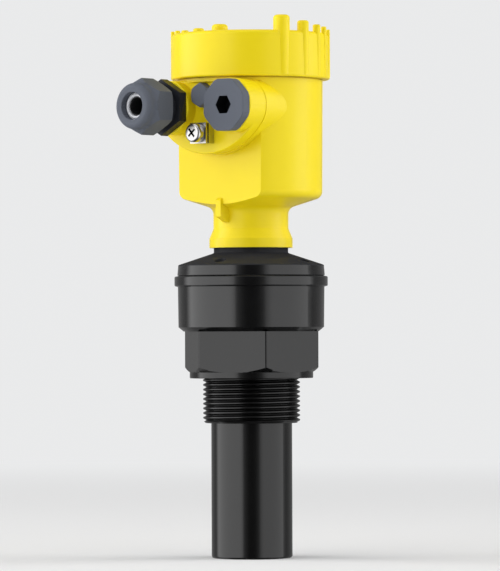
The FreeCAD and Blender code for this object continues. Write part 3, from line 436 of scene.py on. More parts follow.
@dataclass(frozen=True)
class Rubber(Finish):
    """Rubber: dull, slightly blotched, with a fine matt grain."""

    blotch: float = 3 * MM
    grain: float = 0.15 * MM
    grain_depth: float = 0.008 * MM
    drift: float = 0.08
    rough_spread: float = 0.1

    def surface(self, book: NodeBook) -> dict:
        """Vary the rubber and give what varies by socket name."""
        blotch = book.noise(self.blotch, detail=3)
        return {
            "Base Color": self.shades(book, blotch, self.drift),
            "Roughness": self.rough + (blotch - 0.5) * self.rough_spread,
            "Normal": book.bump(book.noise(self.grain, rough=0.6), self.grain_depth),
        }


@dataclass(frozen=True)
class PlatedMetal(Finish):
    """Plated metal: brushed one way, with small stains and handling marks."""

    line: float = 0.5 * MM
    line_depth: float = 0.003 * MM
    line_rough: float = 0.14
    stain: float = 2.5 * MM
    stain_rough: float = 0.1
    drift: float = 0.1

    def surface(self, book: NodeBook) -> dict:
        """Vary the plating.

        Args:
            book: The material's nodes.

        Returns:
            What varies, by socket name.
        """
        lines = book.noise(self.line, detail=3, rough=0.6, stretch=(1, 1, 14))
        stain = book.noise(self.stain, detail=4, rough=0.6)
        rougher = stain.fade(start=0.6, end=0.8) * self.stain_rough
        return {
            "Base Color": self.shades(book, stain, self.drift),
            "Roughness": self.rough + (lines - 0.5) * self.line_rough + rougher,
            "Normal": book.bump(lines, self.line_depth),
        }


@dataclass(frozen=True)
class Speckled(Finish):
    """Filled resin or fired ceramic: a body colour with grains that fill a share of their cells."""

    fleck: Colour = (0.5, 0.5, 0.5)
    fleck_size: float = 0.4 * MM
    fleck_share: float = 0.3
    fleck_depth: float = 0.01 * MM
    rough_spread: float = 0.12

    def surface(self, book: NodeBook) -> dict:
        """Vary the filled body.

        Args:
            book: The material's nodes.

        Returns:
            What varies, by socket name.
        """
        cells = book.node("ShaderNodeTexVoronoi", None, {
            "Vector": book.place(), "Scale": 1 / self.fleck_size})
        mask = 1 - cells.fade(self.fleck_share * 0.6, self.fleck_share)
        return {
            "Base Color": book.mix(mask, self.colour, self.fleck),
            "Roughness": self.rough + (mask - 0.5) * self.rough_spread,
            "Normal": book.bump(mask, self.fleck_depth),
        }


@dataclass(frozen=True)
class CircuitBoard(Finish):
    """Solder mask over copper tracks."""

    tile: float = 6.4 * MM
    track_depth: float = 0.03 * MM
    track_rough: float = 0.1

    def surface(self, book: NodeBook) -> dict:
        """Vary the board.

        Args:
            book: The material's nodes.

        Returns:
            What varies, by socket name.
        """
        tracks = book.node("ShaderNodeTexBrick", {"offset": 0.35, "squash": 1.0}, {
            "Vector": book.place(), "Scale": 1 / self.tile, "Mortar Size": 0.05,
            "Mortar Smooth": 0.1}, output="Fac")
        copper = tuple(min(1.0, c * 1.8 + 0.02) for c in self.colour)
        return {
            "Base Color": book.mix(tracks, self.colour, copper),
            "Roughness": self.rough + tracks * self.track_rough,
            "Normal": book.bump(tracks, self.track_depth),
        }


# The finishes, with their colours in linear light
YELLOW = MouldedPlastic("housing_yellow", (0.855, 0.678, 0.008), rough=0.3, shine=0.25,
                        grain_depth=0.002 * MM)
GLAND_GREY = MouldedPlastic("gland_grey", (0.110, 0.121, 0.147), rough=0.5, shine=0.06, drift=0.06,
                            grain_depth=0.004 * MM)
# A darker copy of the gland grey: painted shade for the nut's shadow on the gland body's flange, thread and
# fingers
GLAND_BODY_PAINTED_SHADE = MouldedPlastic("gland_body_grey_painted_shade", (0.022, 0.024, 0.030), rough=0.35, shine=0.12, drift=0.06,
                            grain_depth=0.004 * MM, slot="gland_grey")
# The blind plug's grey, with painted shade in its hex socket
PLUG_GREY_SOCKET_SHADE = replace(GLAND_GREY, name="plug_grey_socket_shade", slot="gland_grey",
                    socket=PaintedSocketShade("blind_plug", reach=5 * MM, lip=0.2 * MM))
COLLAR_BLACK = MouldedPlastic("collar_black", (0.0035, 0.0035, 0.0037), rough=0.15, drift=0.15,
                              grain_depth=0.001 * MM, rough_spread=0.04, matt_above=55 * MM,
                              matt_share=0.92, matt_colour=(0.0315, 0.032, 0.0355))
FLUORO_BLACK = TurnedPlastic("fluoropolymer_black", (0.0035, 0.0035, 0.0036), rough=0.15, shine=0.43)
INSERT_GREY = Rubber("insert_rubber", (0.72, 0.73, 0.77), rough=0.5)
SEAL_BLACK = Rubber("seal_rubber", (0.012, 0.012, 0.013), rough=0.7)
NICKEL = PlatedMetal("nickel", (0.50, 0.49, 0.475), rough=0.22, metallic=1.0)
# Nickel with painted shade in the earth screw's cross recess
NICKEL_CROSS_SHADE = replace(NICKEL, name="nickel_cross_shade", slot="nickel",
                       socket=PaintedSocketShade("earth_screw", reach=2.9 * MM, lip=0.05 * MM))
SCREW_STEEL = PlatedMetal("screw_steel", (0.42, 0.42, 0.43), rough=0.3, metallic=1.0)
CERAMIC = Speckled("ceramic", (0.55, 0.52, 0.44), rough=0.5, fleck=(0.62, 0.60, 0.55))
MATCHING = Speckled("matching_grey", (0.30, 0.31, 0.33), rough=0.75, fleck=(0.62, 0.63, 0.65))
POTTING = Speckled("potting_black", (0.022, 0.022, 0.026), rough=0.35, fleck=(0.04, 0.04, 0.045))
MODULE_BLACK = MouldedPlastic("module_black", (0.028, 0.029, 0.031), rough=0.5, drift=0.12)
BOARD = CircuitBoard("board_green", (0.012, 0.11, 0.045), rough=0.35)
TERMINAL = MouldedPlastic("terminal_grey", (0.30, 0.31, 0.32), rough=0.45, drift=0.05)
MEMBRANE = Rubber("membrane_white", (0.78, 0.78, 0.76), rough=0.8)


class Chosen(Enum):
    """What is selected when a piece is opened in edit mode."""

    ALL = "SELECT"
    NOTHING = "DESELECT"
    AS_BEFORE = ""


class Element(Enum):
    """What is selected one by one."""

    EDGES = "EDGE"
    POINTS = "VERT"


class Bench:
    """The workbench: modelling steps as by hand, on one piece at a time."""

    @staticmethod
    def hold(piece: bpy.types.Object) -> None:
        """Deselect everything and make one piece the only selected and active one.

        Args:
            piece: The piece.
        """
        bpy.ops.object.select_all(action="DESELECT")
        piece.select_set(True)
        bpy.context.view_layer.objects.active = piece

    @classmethod
    @contextmanager
    def editing(cls, piece: bpy.types.Object, chosen: Chosen = Chosen.ALL) -> Iterator[None]:
        """Open a piece in edit mode, and close it after the steps inside.

        Args:
            piece: The piece.
            chosen: What is selected in it.
        """
        cls.hold(piece)
        bpy.ops.object.mode_set(mode="EDIT")
        if chosen is not Chosen.AS_BEFORE:
            bpy.ops.mesh.select_all(action=chosen.value)
        yield
        bpy.ops.object.mode_set(mode="OBJECT")

    @classmethod
    def choose(cls, piece: bpy.types.Object, element: Element, wanted: Callable) -> None:
        """Select only the edges or points for which wanted(edge or point) is true.

        Args:
            piece: The piece.
            element: Whether edges or points are chosen.
            wanted: Tells whether one is selected.
        """
        with cls.editing(piece, Chosen.NOTHING):
            bpy.ops.mesh.select_mode(type=element.value)
        for one in piece.data.edges if element is Element.EDGES else piece.data.vertices:
            one.select = wanted(one)

    @classmethod
    def apply(cls, piece: bpy.types.Object, kind: str, **settings: object) -> None:
        """Add one modifier and apply it.

        Args:
            piece: The piece.
            kind: The modifier's type.
            settings: Its settings.
        """
        cls.hold(piece)
        modifier = piece.modifiers.new(kind.lower(), kind)
        for name, value in settings.items():
            setattr(modifier, name, value)
        bpy.ops.object.modifier_apply(modifier=modifier.name)

    @staticmethod
    def duplicate(pattern: bpy.types.Object, name: str) -> bpy.types.Object:
        """Copy an object with its own mesh.

        Args:
            pattern: The object.
            name: The copy's name.

        Returns:
            The copy.
        """
        piece = bpy.data.objects.new(name, pattern.data.copy())
        bpy.context.scene.collection.objects.link(piece)
        return piece

    @classmethod
    def copy_node(cls, node: str, name: str) -> bpy.types.Object:
        """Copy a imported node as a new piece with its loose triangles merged.

        Args:
            node: The node.
            name: The piece's name.

        Returns:
            The piece.
        """
        piece = cls.duplicate(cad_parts[node], name)
        with cls.editing(piece):
            bpy.ops.mesh.remove_doubles(threshold=MERGE)
        return piece

    @classmethod
    def slice(cls, piece: bpy.types.Object, point: Vector, normal: Vector) -> None:
        """Cut a piece with a plane, close the cut and keep the side that the normal points to."""
        with cls.editing(piece):
            bpy.ops.mesh.bisect(plane_co=point, plane_no=normal, use_fill=True, clear_inner=True,
                                threshold=CUT)

    @classmethod
    def flatten(cls, piece: bpy.types.Object) -> None:
        """Join the triangles of each flat face, so that it shades flat."""
        with cls.editing(piece):
            bpy.ops.mesh.dissolve_limited(angle_limit=FLAT, use_dissolve_boundaries=False)

    @classmethod
    def round_edges(cls, piece: bpy.types.Object, width: float, wanted: Callable) -> None:
        """Round the edges for which wanted(first corner, second corner) is true.

        Args:
            piece: The piece.
            width: The round's width.
            wanted: Tells whether an edge is rounded.
        """
        cls.choose(piece, Element.EDGES,
                   lambda edge: wanted(*(piece.data.vertices[index].co for index in edge.vertices)))
        with cls.editing(piece, Chosen.AS_BEFORE):
            bpy.ops.mesh.bevel(offset=width, segments=5, affect="EDGES")
            bpy.ops.mesh.select_mode(type="VERT")

    @staticmethod
    def set_towards_ports(piece: bpy.types.Object, axis: Vector) -> None:
        """Turn a piece that was modelled along +Z towards the ports and set it on a port's axis."""
        piece.rotation_euler = (math.radians(90), 0, 0)
        piece.location = (axis.x, 0, axis.z)

    @classmethod
    def chain(cls, name: str, points: Outline, closed: bool) -> bpy.types.Object:
        """Make an edge chain through (radius, height) points in the XZ plane.

        Args:
            name: The piece's name.
            points: The chain's points in metres.
            closed: Whether the last point joins the first.

        Returns:
            The chain as an object.
        """
        bpy.ops.object.select_all(action="DESELECT")
        bpy.ops.mesh.primitive_grid_add(x_subdivisions=len(points) - 1, y_subdivisions=1, size=2)
        piece = bpy.context.object
        piece.name = name
        piece.data.name = name
        cls.choose(piece, Element.POINTS, lambda point: point.co.y > 0)
        with cls.editing(piece, Chosen.AS_BEFORE):
            bpy.ops.mesh.delete(type="VERT")
        row = sorted(piece.data.vertices, key=lambda point: point.co.x)
        ends = (row[0].index, row[-1].index)
        for vertex, (radius, height) in zip(row, points):
            vertex.co = (radius, 0, height)
        if closed:
            cls.choose(piece, Element.POINTS, lambda point: point.index in ends)
            with cls.editing(piece, Chosen.AS_BEFORE):
                bpy.ops.mesh.edge_face_add()
        return piece

    @classmethod
    def turned(cls, name: str, points: Outline, steps: int = 128) -> bpy.types.Object:
        """Turn a closed outline about Z, as on a lathe.

        Args:
            name: The piece's name.
            points: The outline's (radius, height) points in metres.
            steps: The steps in one turn.

        Returns:
            The piece.
        """
        piece = cls.chain(name, points, closed=True)
        cls.apply(piece, "SCREW", steps=steps, render_steps=steps, use_merge_vertices=True,
                  merge_threshold=MERGE)
        cls.outwards(piece)
        return piece

    @classmethod
    def outwards(cls, piece: bpy.types.Object) -> None:
        """Merge doubles and turn all faces outwards."""
        with cls.editing(piece):
            bpy.ops.mesh.remove_doubles(threshold=MERGE)
            bpy.ops.mesh.normals_make_consistent(inside=False)

    @classmethod
    def finish(cls, piece: bpy.types.Object, finish: Finish, body: str, replaced: tuple = (),
               angle: float = 30) -> bpy.types.Object:
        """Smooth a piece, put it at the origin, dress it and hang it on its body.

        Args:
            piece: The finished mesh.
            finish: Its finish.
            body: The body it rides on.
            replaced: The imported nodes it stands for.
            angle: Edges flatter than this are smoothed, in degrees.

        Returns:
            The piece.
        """
        cls.hold(piece)
        bpy.ops.object.transform_apply(location=True, rotation=True, scale=True)
        bpy.ops.object.shade_smooth_by_angle(angle=math.radians(angle))
        cls.apply(piece, "WEIGHTED_NORMAL", keep_sharp=True)
        piece.data.materials.clear()
        piece.data.materials.append(finish.material())
        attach(piece, body)
        if replaced:
            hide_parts(*replaced)
        log.info("%s: %d faces on %s", piece.name, len(piece.data.polygons), body)
        return piece


@dataclass
class ScrewThread:
    """A right-hand thread with rounded crests and roots, cut on a tube along Z.

    Low is its chamfered end, and inside is the tube's inner outline as (radius, height) points from the
    high end down. The blank that it is cut from reaches over the crests, spare turns are wound past each
    end, arc_steps are the steps in half a round, and flank_angle is half the thread's angle in degrees.
    """

    major: float
    pitch: float
    low: float
    high: float
    crest_round: float
    root_round: float
    inside: Outline
    flank_angle: float = 27.5
    chamfer: float = 0.0
    over: float = 0.2 * MM
    spare_turns: int = 2
    arc_steps: int = 4
    steps: int = 96

    def depth(self) -> float:
        """Work out the depth that straight flanks of the angle leave between crest and root.

        Returns:
            The depth.
        """
        lean = math.radians(self.flank_angle)
        rounds = (self.crest_round + self.root_round) * (1 / math.sin(lean) - 1)
        return self.pitch / 2 / math.tan(lean) - rounds

    def flank(self) -> Outline:
        """Trace one pitch of the thread from root to root.

        Returns:
            Its (radius, height) points.
        """
        lean = math.radians(90 - self.flank_angle)
        half = self.pitch / 2
        minor = self.major - self.depth()
        turns = [lean * step / self.arc_steps for step in range(self.arc_steps + 1)]
        low_root = [(minor + self.root_round * (1 - math.cos(turn)), self.root_round * math.sin(turn))
                    for turn in turns]
        crest = [(self.major - self.crest_round * (1 - math.cos(turn)),
                  half + self.crest_round * math.sin(turn))
                 for turn in [-turn for turn in reversed(turns)] + turns[1:]]
        high_root = [(reach, self.pitch - height) for reach, height in reversed(low_root)]
        return low_root + crest + high_root

    def build(self, name: str) -> bpy.types.Object:
        """Wind the flank into a closed rod and cut it to the chamfered tube.

        Args:
            name: The piece's name.

        Returns:
            The threaded tube.
        """
        start = self.low - self.spare_turns * self.pitch
        turns = math.ceil((self.high - self.low) / self.pitch) + 2 * self.spare_turns
        rod = Bench.chain(name, [(radius, height + start) for radius, height in self.flank()], closed=False)
        Bench.apply(rod, "SCREW", steps=self.steps, render_steps=self.steps, screw_offset=self.pitch,
                    iterations=turns, use_merge_vertices=False)
        Bench.outwards(rod)
        Bench.slice(rod, Vector((0, 0, self.low - self.pitch / 3)), UP)
        Bench.slice(rod, Vector((0, 0, self.high + self.pitch / 3)), -UP)
        Bench.outwards(rod)
        outer = self.major + self.over
        slope = self.chamfer + self.over
        blank = Bench.turned(name + "_blank", [
            (outer - slope, self.low),
            (outer, self.low + slope),
            (outer, self.high),
            *self.inside,
        ])
        Bench.apply(rod, "BOOLEAN", operation="INTERSECT", object=blank, solver="EXACT")
        bpy.data.objects.remove(blank)
        return rod


def dress(finish: Finish, *nodes: str) -> None:
    """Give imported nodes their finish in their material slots.

    Args:
        finish: The finish.
        nodes: The nodes' names.
    """
    for name in nodes:
        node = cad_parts[name]
        if not node.material_slots:
            node.data.materials.append(finish.material())
        for place in node.material_slots:
            place.material = finish.material()


@dataclass
class ProcessSide:
    """The screwed fitting, the sound tube and the collar with its cap."""

    bore: float = 19.95 * MM
    thread_radius: float = 23.9015 * MM
    thread_pitch: float = 2.309 * MM
    thread_low: float = -22 * MM
    thread_crest: float = 0.5 * MM
    thread_root: float = 0.08 * MM
    thread_chamfer: float = 1.2 * MM
    disc_radius: float = 30.4 * MM
    disc_top: float = 2.9 * MM
    disc_edge: float = 0.25 * MM
    corner_from: float = 33 * MM
    corner_below: float = 24 * MM
    corner_round: float = 0.6 * MM

    def build(self) -> None:
        """Dress the nodes and shape the fitting."""
        dress(FLUORO_BLACK, "transducer_tube", "process_fitting")
        dress(COLLAR_BLACK, "collar", "collar_cap")
        dress(SEAL_BLACK, "collar_gasket", "swivel_seal")
        dress(SCREW_STEEL, "cap_screws", "retaining_ring", "temperature_sensor")
        dress(CERAMIC, "piezo_disc")
        dress(MATCHING, "matching_layer")
        dress(POTTING, "damping_block")
        self.shape_head()
        self.turn_disc()
        self.cut_thread()

    def shape_head(self) -> None:
        """Take the hexagon and what is above it, and round the hexagon's upright corners."""
        head = Bench.copy_node("process_fitting", "fitting_head")
        Bench.slice(head, Vector((0, 0, self.disc_top)), UP)
        Bench.flatten(head)
        Bench.round_edges(head, self.corner_round, self.is_corner)
        Bench.finish(head, FLUORO_BLACK, "process_side", ("process_fitting",), angle=14)

    def is_corner(self, first: Vector, second: Vector) -> bool:
        """Tell whether an edge is one of the hexagon's upright corners.

        Args:
            first: The edge's one end.
            second: Its other end.

        Returns:
            Whether it is.
        """
        upright = (first.xy - second.xy).length < TOUCH
        low = max(first.z, second.z) <= self.corner_below
        return upright and low and first.xy.length > self.corner_from

    def turn_disc(self) -> None:
        """Turn the sealing disc with its broken lower edge."""
        disc = Bench.turned("sealing_disc", [
            (self.bore, 0),
            (self.disc_radius - self.disc_edge, 0),
            (self.disc_radius, self.disc_edge),
            (self.disc_radius, self.disc_top),
            (self.bore, self.disc_top),
        ], steps=192)
        Bench.finish(disc, FLUORO_BLACK, "process_side", ("process_fitting",))

    def cut_thread(self) -> None:
        """Cut the pipe thread below the sealing disc."""
        thread = ScrewThread(
            major=self.thread_radius, pitch=self.thread_pitch, low=self.thread_low, high=0.0,
            crest_round=self.thread_crest, root_round=self.thread_root, chamfer=self.thread_chamfer,
            inside=[(self.bore, 0.0), (self.bore, self.thread_low)])
        tube = thread.build("pipe_thread")
        Bench.finish(tube, FLUORO_BLACK, "process_side", ("process_fitting",), angle=40)


@dataclass
class CableGland:
    """The cable gland: its nut, thread and thrust ring, with distances along the port's axis."""

    axis: Vector = field(default_factory=lambda: middle("gland_nut"))
    neck_start: float = 44.3 * MM
    neck_end: float = 52 * MM
    seat_start: float = 46.5 * MM
    seat_radius: float = 7.6 * MM
    throat_radius: float = 6.5 * MM
    thread_radius: float = 10 * MM
    thread_pitch: float = 1.5 * MM
    thread_crest: float = 0.19 * MM
    thread_root: float = 0.1 * MM
    ring_back: float = 60.4 * MM
    ring_step: float = 61.8 * MM
    ring_shoulder: float = 62 * MM
    ring_front: float = 63.1 * MM
    ring_outer: float = 7.3 * MM
    ring_bore: float = 4.75 * MM
    ring_edge: float = 6.2 * MM
    bulge_steps: int = 12
    nut_front: float = field(default_factory=lambda: -front("gland_nut"))
    mouth: float = 6.7 * MM
    mouth_round: float = 0.35 * MM
    cable_bore: float = 4.2 * MM

    def build(self) -> None:
        """Dress the gland and shape its nut, thread and ring."""
        dress(SEAL_BLACK, "gland_insert", "gland_seal")
        self.round_mouth()
        self.cut_neck()
        self.turn_ring()

    def round_mouth(self) -> None:
        """Round the mouth of the dome nut."""
        nut = Bench.copy_node("gland_nut", "dome_nut")
        Bench.flatten(nut)
        Bench.round_edges(nut, self.mouth_round, self.is_mouth)
        Bench.finish(nut, GLAND_GREY, "gland_nut", ("gland_nut",), angle=18)

    def is_mouth(self, first: Vector, second: Vector) -> bool:
        """Tell whether an edge lies on the circle where the nut's mouth meets its front."""
        centre = Vector((self.axis.x, -self.nut_front, self.axis.z))
        return all(abs(end.y - centre.y) < TOUCH and (end - centre).length < self.mouth + 10 * TOUCH
                   for end in (first, second))

    def cut_neck(self) -> None:
        """Cut the nut's thread on the gland body, between its flange and its fingers."""
        flange = Bench.copy_node("gland_body", "gland_flange")
        Bench.slice(flange, self.neck_start * TOWARDS_PORTS, -TOWARDS_PORTS)
        fingers = Bench.copy_node("gland_body", "gland_fingers")
        Bench.slice(fingers, self.neck_end * TOWARDS_PORTS, TOWARDS_PORTS)
        thread = ScrewThread(
            major=self.thread_radius, pitch=self.thread_pitch, low=self.neck_start, high=self.neck_end,
            crest_round=self.thread_crest, root_round=self.thread_root, flank_angle=30, inside=[
                (self.seat_radius, self.neck_end),
                (self.seat_radius, self.seat_start),
                (self.throat_radius, self.seat_start),
                (self.throat_radius, self.neck_start),
            ])
        neck = thread.build("gland_thread")
        Bench.set_towards_ports(neck, self.axis)
        # The gland body's pieces take the darker copy, as painted shade
        for piece in (flange, fingers, neck):
            Bench.finish(piece, GLAND_BODY_PAINTED_SHADE, "housing", ("gland_body",), angle=32)

    def turn_ring(self) -> None:
        """Turn the light thrust ring, and behind it a dark sleeve whose black is painted shade in the ring's
        bore.
        """
        bulge = self.ring_front - self.ring_shoulder
        half = (self.ring_edge - self.ring_bore) / 2
        turns = [math.pi * step / self.bulge_steps for step in range(self.bulge_steps)]
        ring = Bench.turned("thrust_ring", [
            (self.ring_bore, self.ring_step),
            (self.ring_outer, self.ring_step),
            (self.ring_outer, self.ring_shoulder),
            *[(self.ring_bore + half * (1 + math.cos(turn)), self.ring_shoulder + bulge * math.sin(turn))
              for turn in turns],
            (self.ring_bore, self.ring_shoulder),
        ], steps=64)
        # The rear part of the ring in seal black: painted shade in the ring's bore
        bore_shade_sleeve = Bench.turned("thrust_ring_bore_shade", [
            (self.cable_bore, self.ring_back),
            (self.ring_outer, self.ring_back),
            (self.ring_outer, self.ring_step),
            (self.cable_bore, self.ring_step),
        ], steps=64)
        for piece, finish in ((ring, INSERT_GREY), (bore_shade_sleeve, SEAL_BLACK)):
            Bench.set_towards_ports(piece, self.axis)
            Bench.finish(piece, finish, "insert_slide", ("gland_ring",))


@dataclass
class EarthTerminal:
    """The earth terminal, whose screw was left with its cross recess askew."""

    screw_turn: float = 40.0

    def build(self) -> None:
        """Dress the terminal and turn its screw."""
        dress(SCREW_STEEL, "earth_washer", "earth_lock_washer")
        dress(NICKEL, "earth_base", "earth_clamp_plates")
        screw = Bench.copy_node("earth_screw", "cross_screw")
        Bench.flatten(screw)
        Bench.hold(screw)
        bpy.ops.transform.rotate(value=math.radians(self.screw_turn), orient_axis="Y",
                                 center_override=middle("earth_screw"))
        # The screw's finish paints shade into its cross recess
        Bench.finish(screw, NICKEL_CROSS_SHADE, "earth_screw", ("earth_screw",), angle=32)


@dataclass
class Housing:
    """The yellow chamber, what is inside it and what is screwed to it."""

    clamp_columns: tuple = (-17.5 * MM, -11.5 * MM, -5.5 * MM, 5.5 * MM, 11.5 * MM, 17.5 * MM)
    clamp_radius: float = 1.9 * MM
    clamp_rise: float = 0.6 * MM
    slot_width: float = 0.6 * MM
    slot_depth: float = 0.4 * MM
    slot_turn: float = 25.0
    pin_columns: tuple = (-7.5 * MM, -2.5 * MM, 2.5 * MM, 7.5 * MM)
    pin_radius: float = 0.9 * MM
    pin_rise: float = 2.4 * MM
    tip_steps: int = 8

    def build(self) -> None:
        """Dress the nodes and add what shows with the lid off."""
        dress(YELLOW, "housing", "lid")
        dress(SEAL_BLACK, "lid_seal", "plug_seal")
        dress(GLAND_GREY, "breather")
        dress(PLUG_GREY_SOCKET_SHADE, "blind_plug")
        dress(MEMBRANE, "breather_membrane")
        dress(MODULE_BLACK, "electronics_module")
        dress(BOARD, "contact_board")
        dress(TERMINAL, "terminal_blocks")
        dress(SCREW_STEEL, "module_screws")
        clamp = self.make_clamp()
        for screw in self.set_row(clamp, "clamp_screw", self.clamp_columns, "terminal_blocks"):
            Bench.finish(screw, SCREW_STEEL, "housing")
        pin = self.make_pin()
        for contact in self.set_row(pin, "contact_pin", self.pin_columns, "contact_board"):
            Bench.finish(contact, NICKEL, "housing", angle=40)

    def set_row(self, pattern: bpy.types.Object, name: str, columns: tuple, carrier: str) -> list:
        """Set copies of a pattern in a row on top of what carries them, and put the pattern away.

        Args:
            pattern: The pattern, which stands on the origin.
            name: The copies' name, before their number.
            columns: The place of each across the housing.
            carrier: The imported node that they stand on.

        Returns:
            The copies.
        """
        copies = []
        for number, column in enumerate(columns, 1):
            copy = Bench.duplicate(pattern, f"{name}_{number}")
            copy.location = (column, middle(carrier).y, top(carrier))
            copies.append(copy)
        bpy.data.objects.remove(pattern)
        return copies

    def make_clamp(self) -> bpy.types.Object:
        """Turn the head of a clamp screw and mill a slot right across it.

        Returns:
            The head, on the origin.
        """
        soft = self.clamp_rise / 3
        head = Bench.turned("clamp_pattern", [
            (0, -self.clamp_rise),
            (self.clamp_radius, -self.clamp_rise),
            (self.clamp_radius, self.clamp_rise - soft),
            (self.clamp_radius - soft, self.clamp_rise),
            (0, self.clamp_rise),
        ], steps=48)
        bpy.ops.object.select_all(action="DESELECT")
        bpy.ops.mesh.primitive_cube_add(size=1, location=(0, 0, self.clamp_rise))
        mill = bpy.context.object
        mill.scale = (self.slot_width, 3 * self.clamp_radius, 2 * self.slot_depth)
        mill.rotation_euler = (0, 0, math.radians(self.slot_turn))
        Bench.apply(head, "BOOLEAN", operation="DIFFERENCE", object=mill, solver="EXACT")
        bpy.data.objects.remove(mill)
        return head

    def make_pin(self) -> bpy.types.Object:
        """Turn a sprung contact pin with a collar and a round tip.

        Returns:
            The pin, on the origin.
        """
        foot = -0.2 * self.pin_radius
        collar_radius = 1.6 * self.pin_radius
        collar_top = 0.6 * self.pin_radius
        turns = [math.pi / 2 * step / self.tip_steps for step in range(self.tip_steps)]
        return Bench.turned("pin_pattern", [
            (0, foot),
            (collar_radius, foot),
            (collar_radius, collar_top),
            (self.pin_radius, collar_top),
            *[(self.pin_radius * math.cos(turn), self.pin_rise - self.pin_radius * (1 - math.sin(turn)))
              for turn in turns],
            (0, self.pin_rise),
        ], steps=32)


class Side(Enum):
    """Where a lamp stands, as degrees around from the camera and degrees up."""

    KEY = (-73, 8)
    FILL = (63, 8)
    EDGE_LEFT = (-100, 8)
    EDGE_RIGHT = (98, 8)
    FRONT = (-5, 20)
    TOP = (-20, 80)


@dataclass(frozen=True)
class Lamp:
    """A soft oblong lamp that looks at the part's middle, with its sizes in metres and power in watts."""

    side: Side
    width: float
    height: float
    power: float
    reach: float = 2.4
    in_gloss: bool = True


@dataclass(frozen=True)
class Cloth:
    """A dark cloth that only gloss sees, turned to the part's middle.

    Its place is given in degrees around from the camera and up, and a distance. Its sides fade out, and
    soft is the share of the half width that this takes.
    """

    name: str
    azimuth: float
    gap: float
    half_width: float
    tone: float
    soft: float
    elevation: float = 0.0
    half_height: float = 2.6


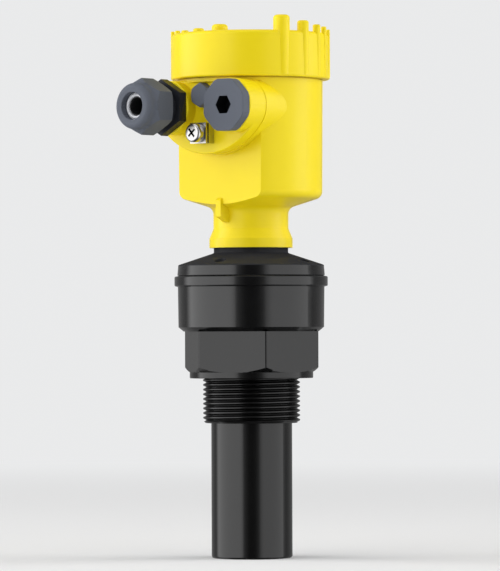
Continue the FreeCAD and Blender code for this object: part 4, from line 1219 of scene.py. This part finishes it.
@dataclass
class Studio:
    """Floor, world, lamps, cloths and the camera at the photograph's angle.

    The camera's azimuth, pitch, roll and yaw are in degrees, fitted to the outline in the photograph. Haze
    is how far out the floor starts to fade into the backdrop and where it is gone, paper is the floor's
    darkest and lightest grey, and glow is the strength of the world's soft light.
    """

    azimuth: float = 40.0
    distance: float = 2139 * MM
    camera_height: float = 22.8 * MM
    pitch: float = 0.61
    roll: float = -0.22
    yaw: float = 0.015
    lens: float = 273.8
    aim_height: float = 40 * MM
    floor_radius: float = 9.0
    haze: tuple = (0.35, 1.6)
    paper: tuple = (0.80, 0.84)
    backdrop: Colour = (0.82, 0.825, 0.83)
    glow: float = 0.14
    cloths: tuple = (
        Cloth("front", 0, 2.5, 1.75, 0.06, 0.87),
        Cloth("back_left", -149, 2.3, 2.05, 0.3, 0.5),
        Cloth("behind", 180, 2.7, 1.3, 0.24, 0.3),
        Cloth("back_right", 135, 2.6, 2.0, 0.28, 0.5),
        Cloth("ceiling", 180, 2.2, 4.0, 0.25, 0.2, elevation=88, half_height=4.0),
        Cloth("below", 0, 1.6, 1.5, 0.1, 0.4, elevation=-90, half_height=1.5),
    )
    lamps: tuple = (
        Lamp(Side.KEY, 5.5, 4.6, 117),
        Lamp(Side.FILL, 4.3, 4.6, 51.5),
        Lamp(Side.EDGE_LEFT, 2.0, 3.0, 46, in_gloss=False),
        Lamp(Side.EDGE_RIGHT, 2.0, 3.0, 60, in_gloss=False),
        Lamp(Side.FRONT, 2.0, 2.0, 2.5, in_gloss=False),
        Lamp(Side.TOP, 1.6, 1.6, 7, reach=1.5),
    )

    def build(self) -> None:
        """Set up the whole studio."""
        bpy.context.scene.view_settings.view_transform = "Standard"
        self.add_floor()
        self.light_world()
        for cloth in self.cloths:
            self.add_cloth(cloth)
        for lamp in self.lamps:
            self.add_lamp(lamp)
        self.add_camera()

    def around(self, azimuth: float, elevation: float, reach: float) -> Vector:
        """Give the point in a direction from the part's middle.

        Args:
            azimuth: Degrees around from the camera.
            elevation: Degrees up.
            reach: The distance.

        Returns:
            The point.
        """
        turn = math.radians(self.azimuth + azimuth)
        lift = math.radians(elevation)
        flat = reach * math.cos(lift)
        height = self.aim_height + reach * math.sin(lift)
        return Vector((flat * math.sin(turn), -flat * math.cos(turn), height))

    def turn_to_part(self, thing: bpy.types.Object) -> None:
        """Turn a lamp or cloth to the part's middle."""
        aim = Vector((0, 0, self.aim_height)) - thing.location
        thing.rotation_euler = aim.to_track_quat("-Z", "Y").to_euler()

    @staticmethod
    def shown(book: NodeBook) -> Signal:
        """Give 1 for the rays that show the backdrop: from the camera, in gloss and through glass."""
        rays = [book.node("ShaderNodeLightPath", output=f"Is {kind} Ray")
                for kind in ("Camera", "Glossy", "Transmission")]
        return rays[0] + rays[1] + rays[2] > 0.5

    def add_floor(self) -> None:
        """Lay a wide pale round floor under the sound face."""
        bpy.ops.object.select_all(action="DESELECT")
        bpy.ops.mesh.primitive_circle_add(vertices=96, radius=self.floor_radius, fill_type="NGON",
                                          location=(0, 0, CAD_BOX[0][2]))
        floor = bpy.context.object
        floor.name = "studio_floor"
        bpy.ops.object.transform_apply(location=True)
        material, book = new_material("floor_paper")
        dark, light = ((grey, grey, grey) for grey in self.paper)
        paper = book.node("ShaderNodeBsdfPrincipled", None, {
            "Base Color": book.mix(book.noise(0.9 * MM, detail=3), dark, light),
            "Roughness": 0.9, "Specular IOR Level": 0.1})
        reach = book.node("ShaderNodeVectorMath", {"operation": "LENGTH"}, {0: book.place()}, output="Value")
        away = reach.fade(*self.haze) * self.shown(book)
        blended = book.blend(away, paper, book.glow("Emission", self.backdrop))
        book.node("ShaderNodeOutputMaterial", None, {"Surface": blended})
        floor.data.materials.append(material)
        floor.visible_glossy = False

    def light_world(self) -> None:
        """Show a pale backdrop to the camera and in reflections, and light softly."""
        world = bpy.data.worlds.new("studio")
        bpy.context.scene.world = world
        world.use_nodes = True
        book = NodeBook(world.node_tree)
        backdrop = book.glow("Background", self.backdrop)
        light = book.glow("Background", (1.0, 1.0, 1.0), self.glow)
        blended = book.blend(self.shown(book), light, backdrop)
        book.node("ShaderNodeOutputWorld", None, {"Surface": blended})

    def add_cloth(self, cloth: Cloth) -> None:
        """Hang one dark cloth outside the view, for the dark bands in the glossy black parts.

        Args:
            cloth: The cloth.
        """
        bpy.ops.object.select_all(action="DESELECT")
        spot = self.around(cloth.azimuth, cloth.elevation, cloth.gap)
        bpy.ops.mesh.primitive_plane_add(size=2, location=spot)
        sheet = bpy.context.object
        sheet.name = "studio_cloth_" + cloth.name
        self.turn_to_part(sheet)
        sheet.scale = (cloth.half_width, cloth.half_height, 1)
        material, book = new_material("cloth_" + cloth.name)
        aside = abs(book.along("X")).fade(1 - cloth.soft, 1.0)
        weave = book.glow("Emission", (cloth.tone, cloth.tone, cloth.tone))
        blended = book.blend(aside, weave, book.node("ShaderNodeBsdfTransparent"))
        book.node("ShaderNodeOutputMaterial", None, {"Surface": blended})
        sheet.data.materials.append(material)
        sheet.visible_camera = False
        sheet.visible_diffuse = False
        sheet.visible_shadow = False

    def add_lamp(self, lamp: Lamp) -> None:
        """Hang one lamp and turn it to the part.

        Args:
            lamp: The lamp.
        """
        azimuth, elevation = lamp.side.value
        bpy.ops.object.light_add(type="AREA", location=self.around(azimuth, elevation, lamp.reach))
        light = bpy.context.object
        light.name = "lamp_" + lamp.side.name.lower()
        light.data.shape = "RECTANGLE"
        light.data.size = lamp.width
        light.data.size_y = lamp.height
        light.data.energy = lamp.power
        light.visible_glossy = lamp.in_gloss
        self.turn_to_part(light)

    def add_camera(self) -> None:
        """Set the camera where the photograph was taken from."""
        turn = math.radians(self.azimuth)
        spot = (self.distance * math.sin(turn), -self.distance * math.cos(turn), self.camera_height)
        bpy.ops.object.camera_add(location=spot)
        camera = bpy.context.object
        camera.name = "camera"
        camera.data.lens = self.lens
        camera.data.sensor_width = 36
        camera.data.clip_end = 50
        tilt = Matrix.Rotation(math.radians(90 + self.pitch), 4, "X")
        lean = Matrix.Rotation(math.radians(self.roll), 4, "Z")
        facing = Matrix.Rotation(turn + math.radians(self.yaw), 4, "Z")
        camera.rotation_euler = (facing @ tilt @ lean).to_euler()
        bpy.context.scene.camera = camera


def main() -> None:
    """Build the sub-assemblies and the studio in order."""
    logging.basicConfig(level=logging.INFO, format="%(name)s: %(message)s")
    for assembly in (ProcessSide(), Housing(), CableGland(), EarthTerminal(), Studio()):
        log.info("building %s", type(assembly).__name__)
        assembly.build()


if __name__ == "__main__":
    main()
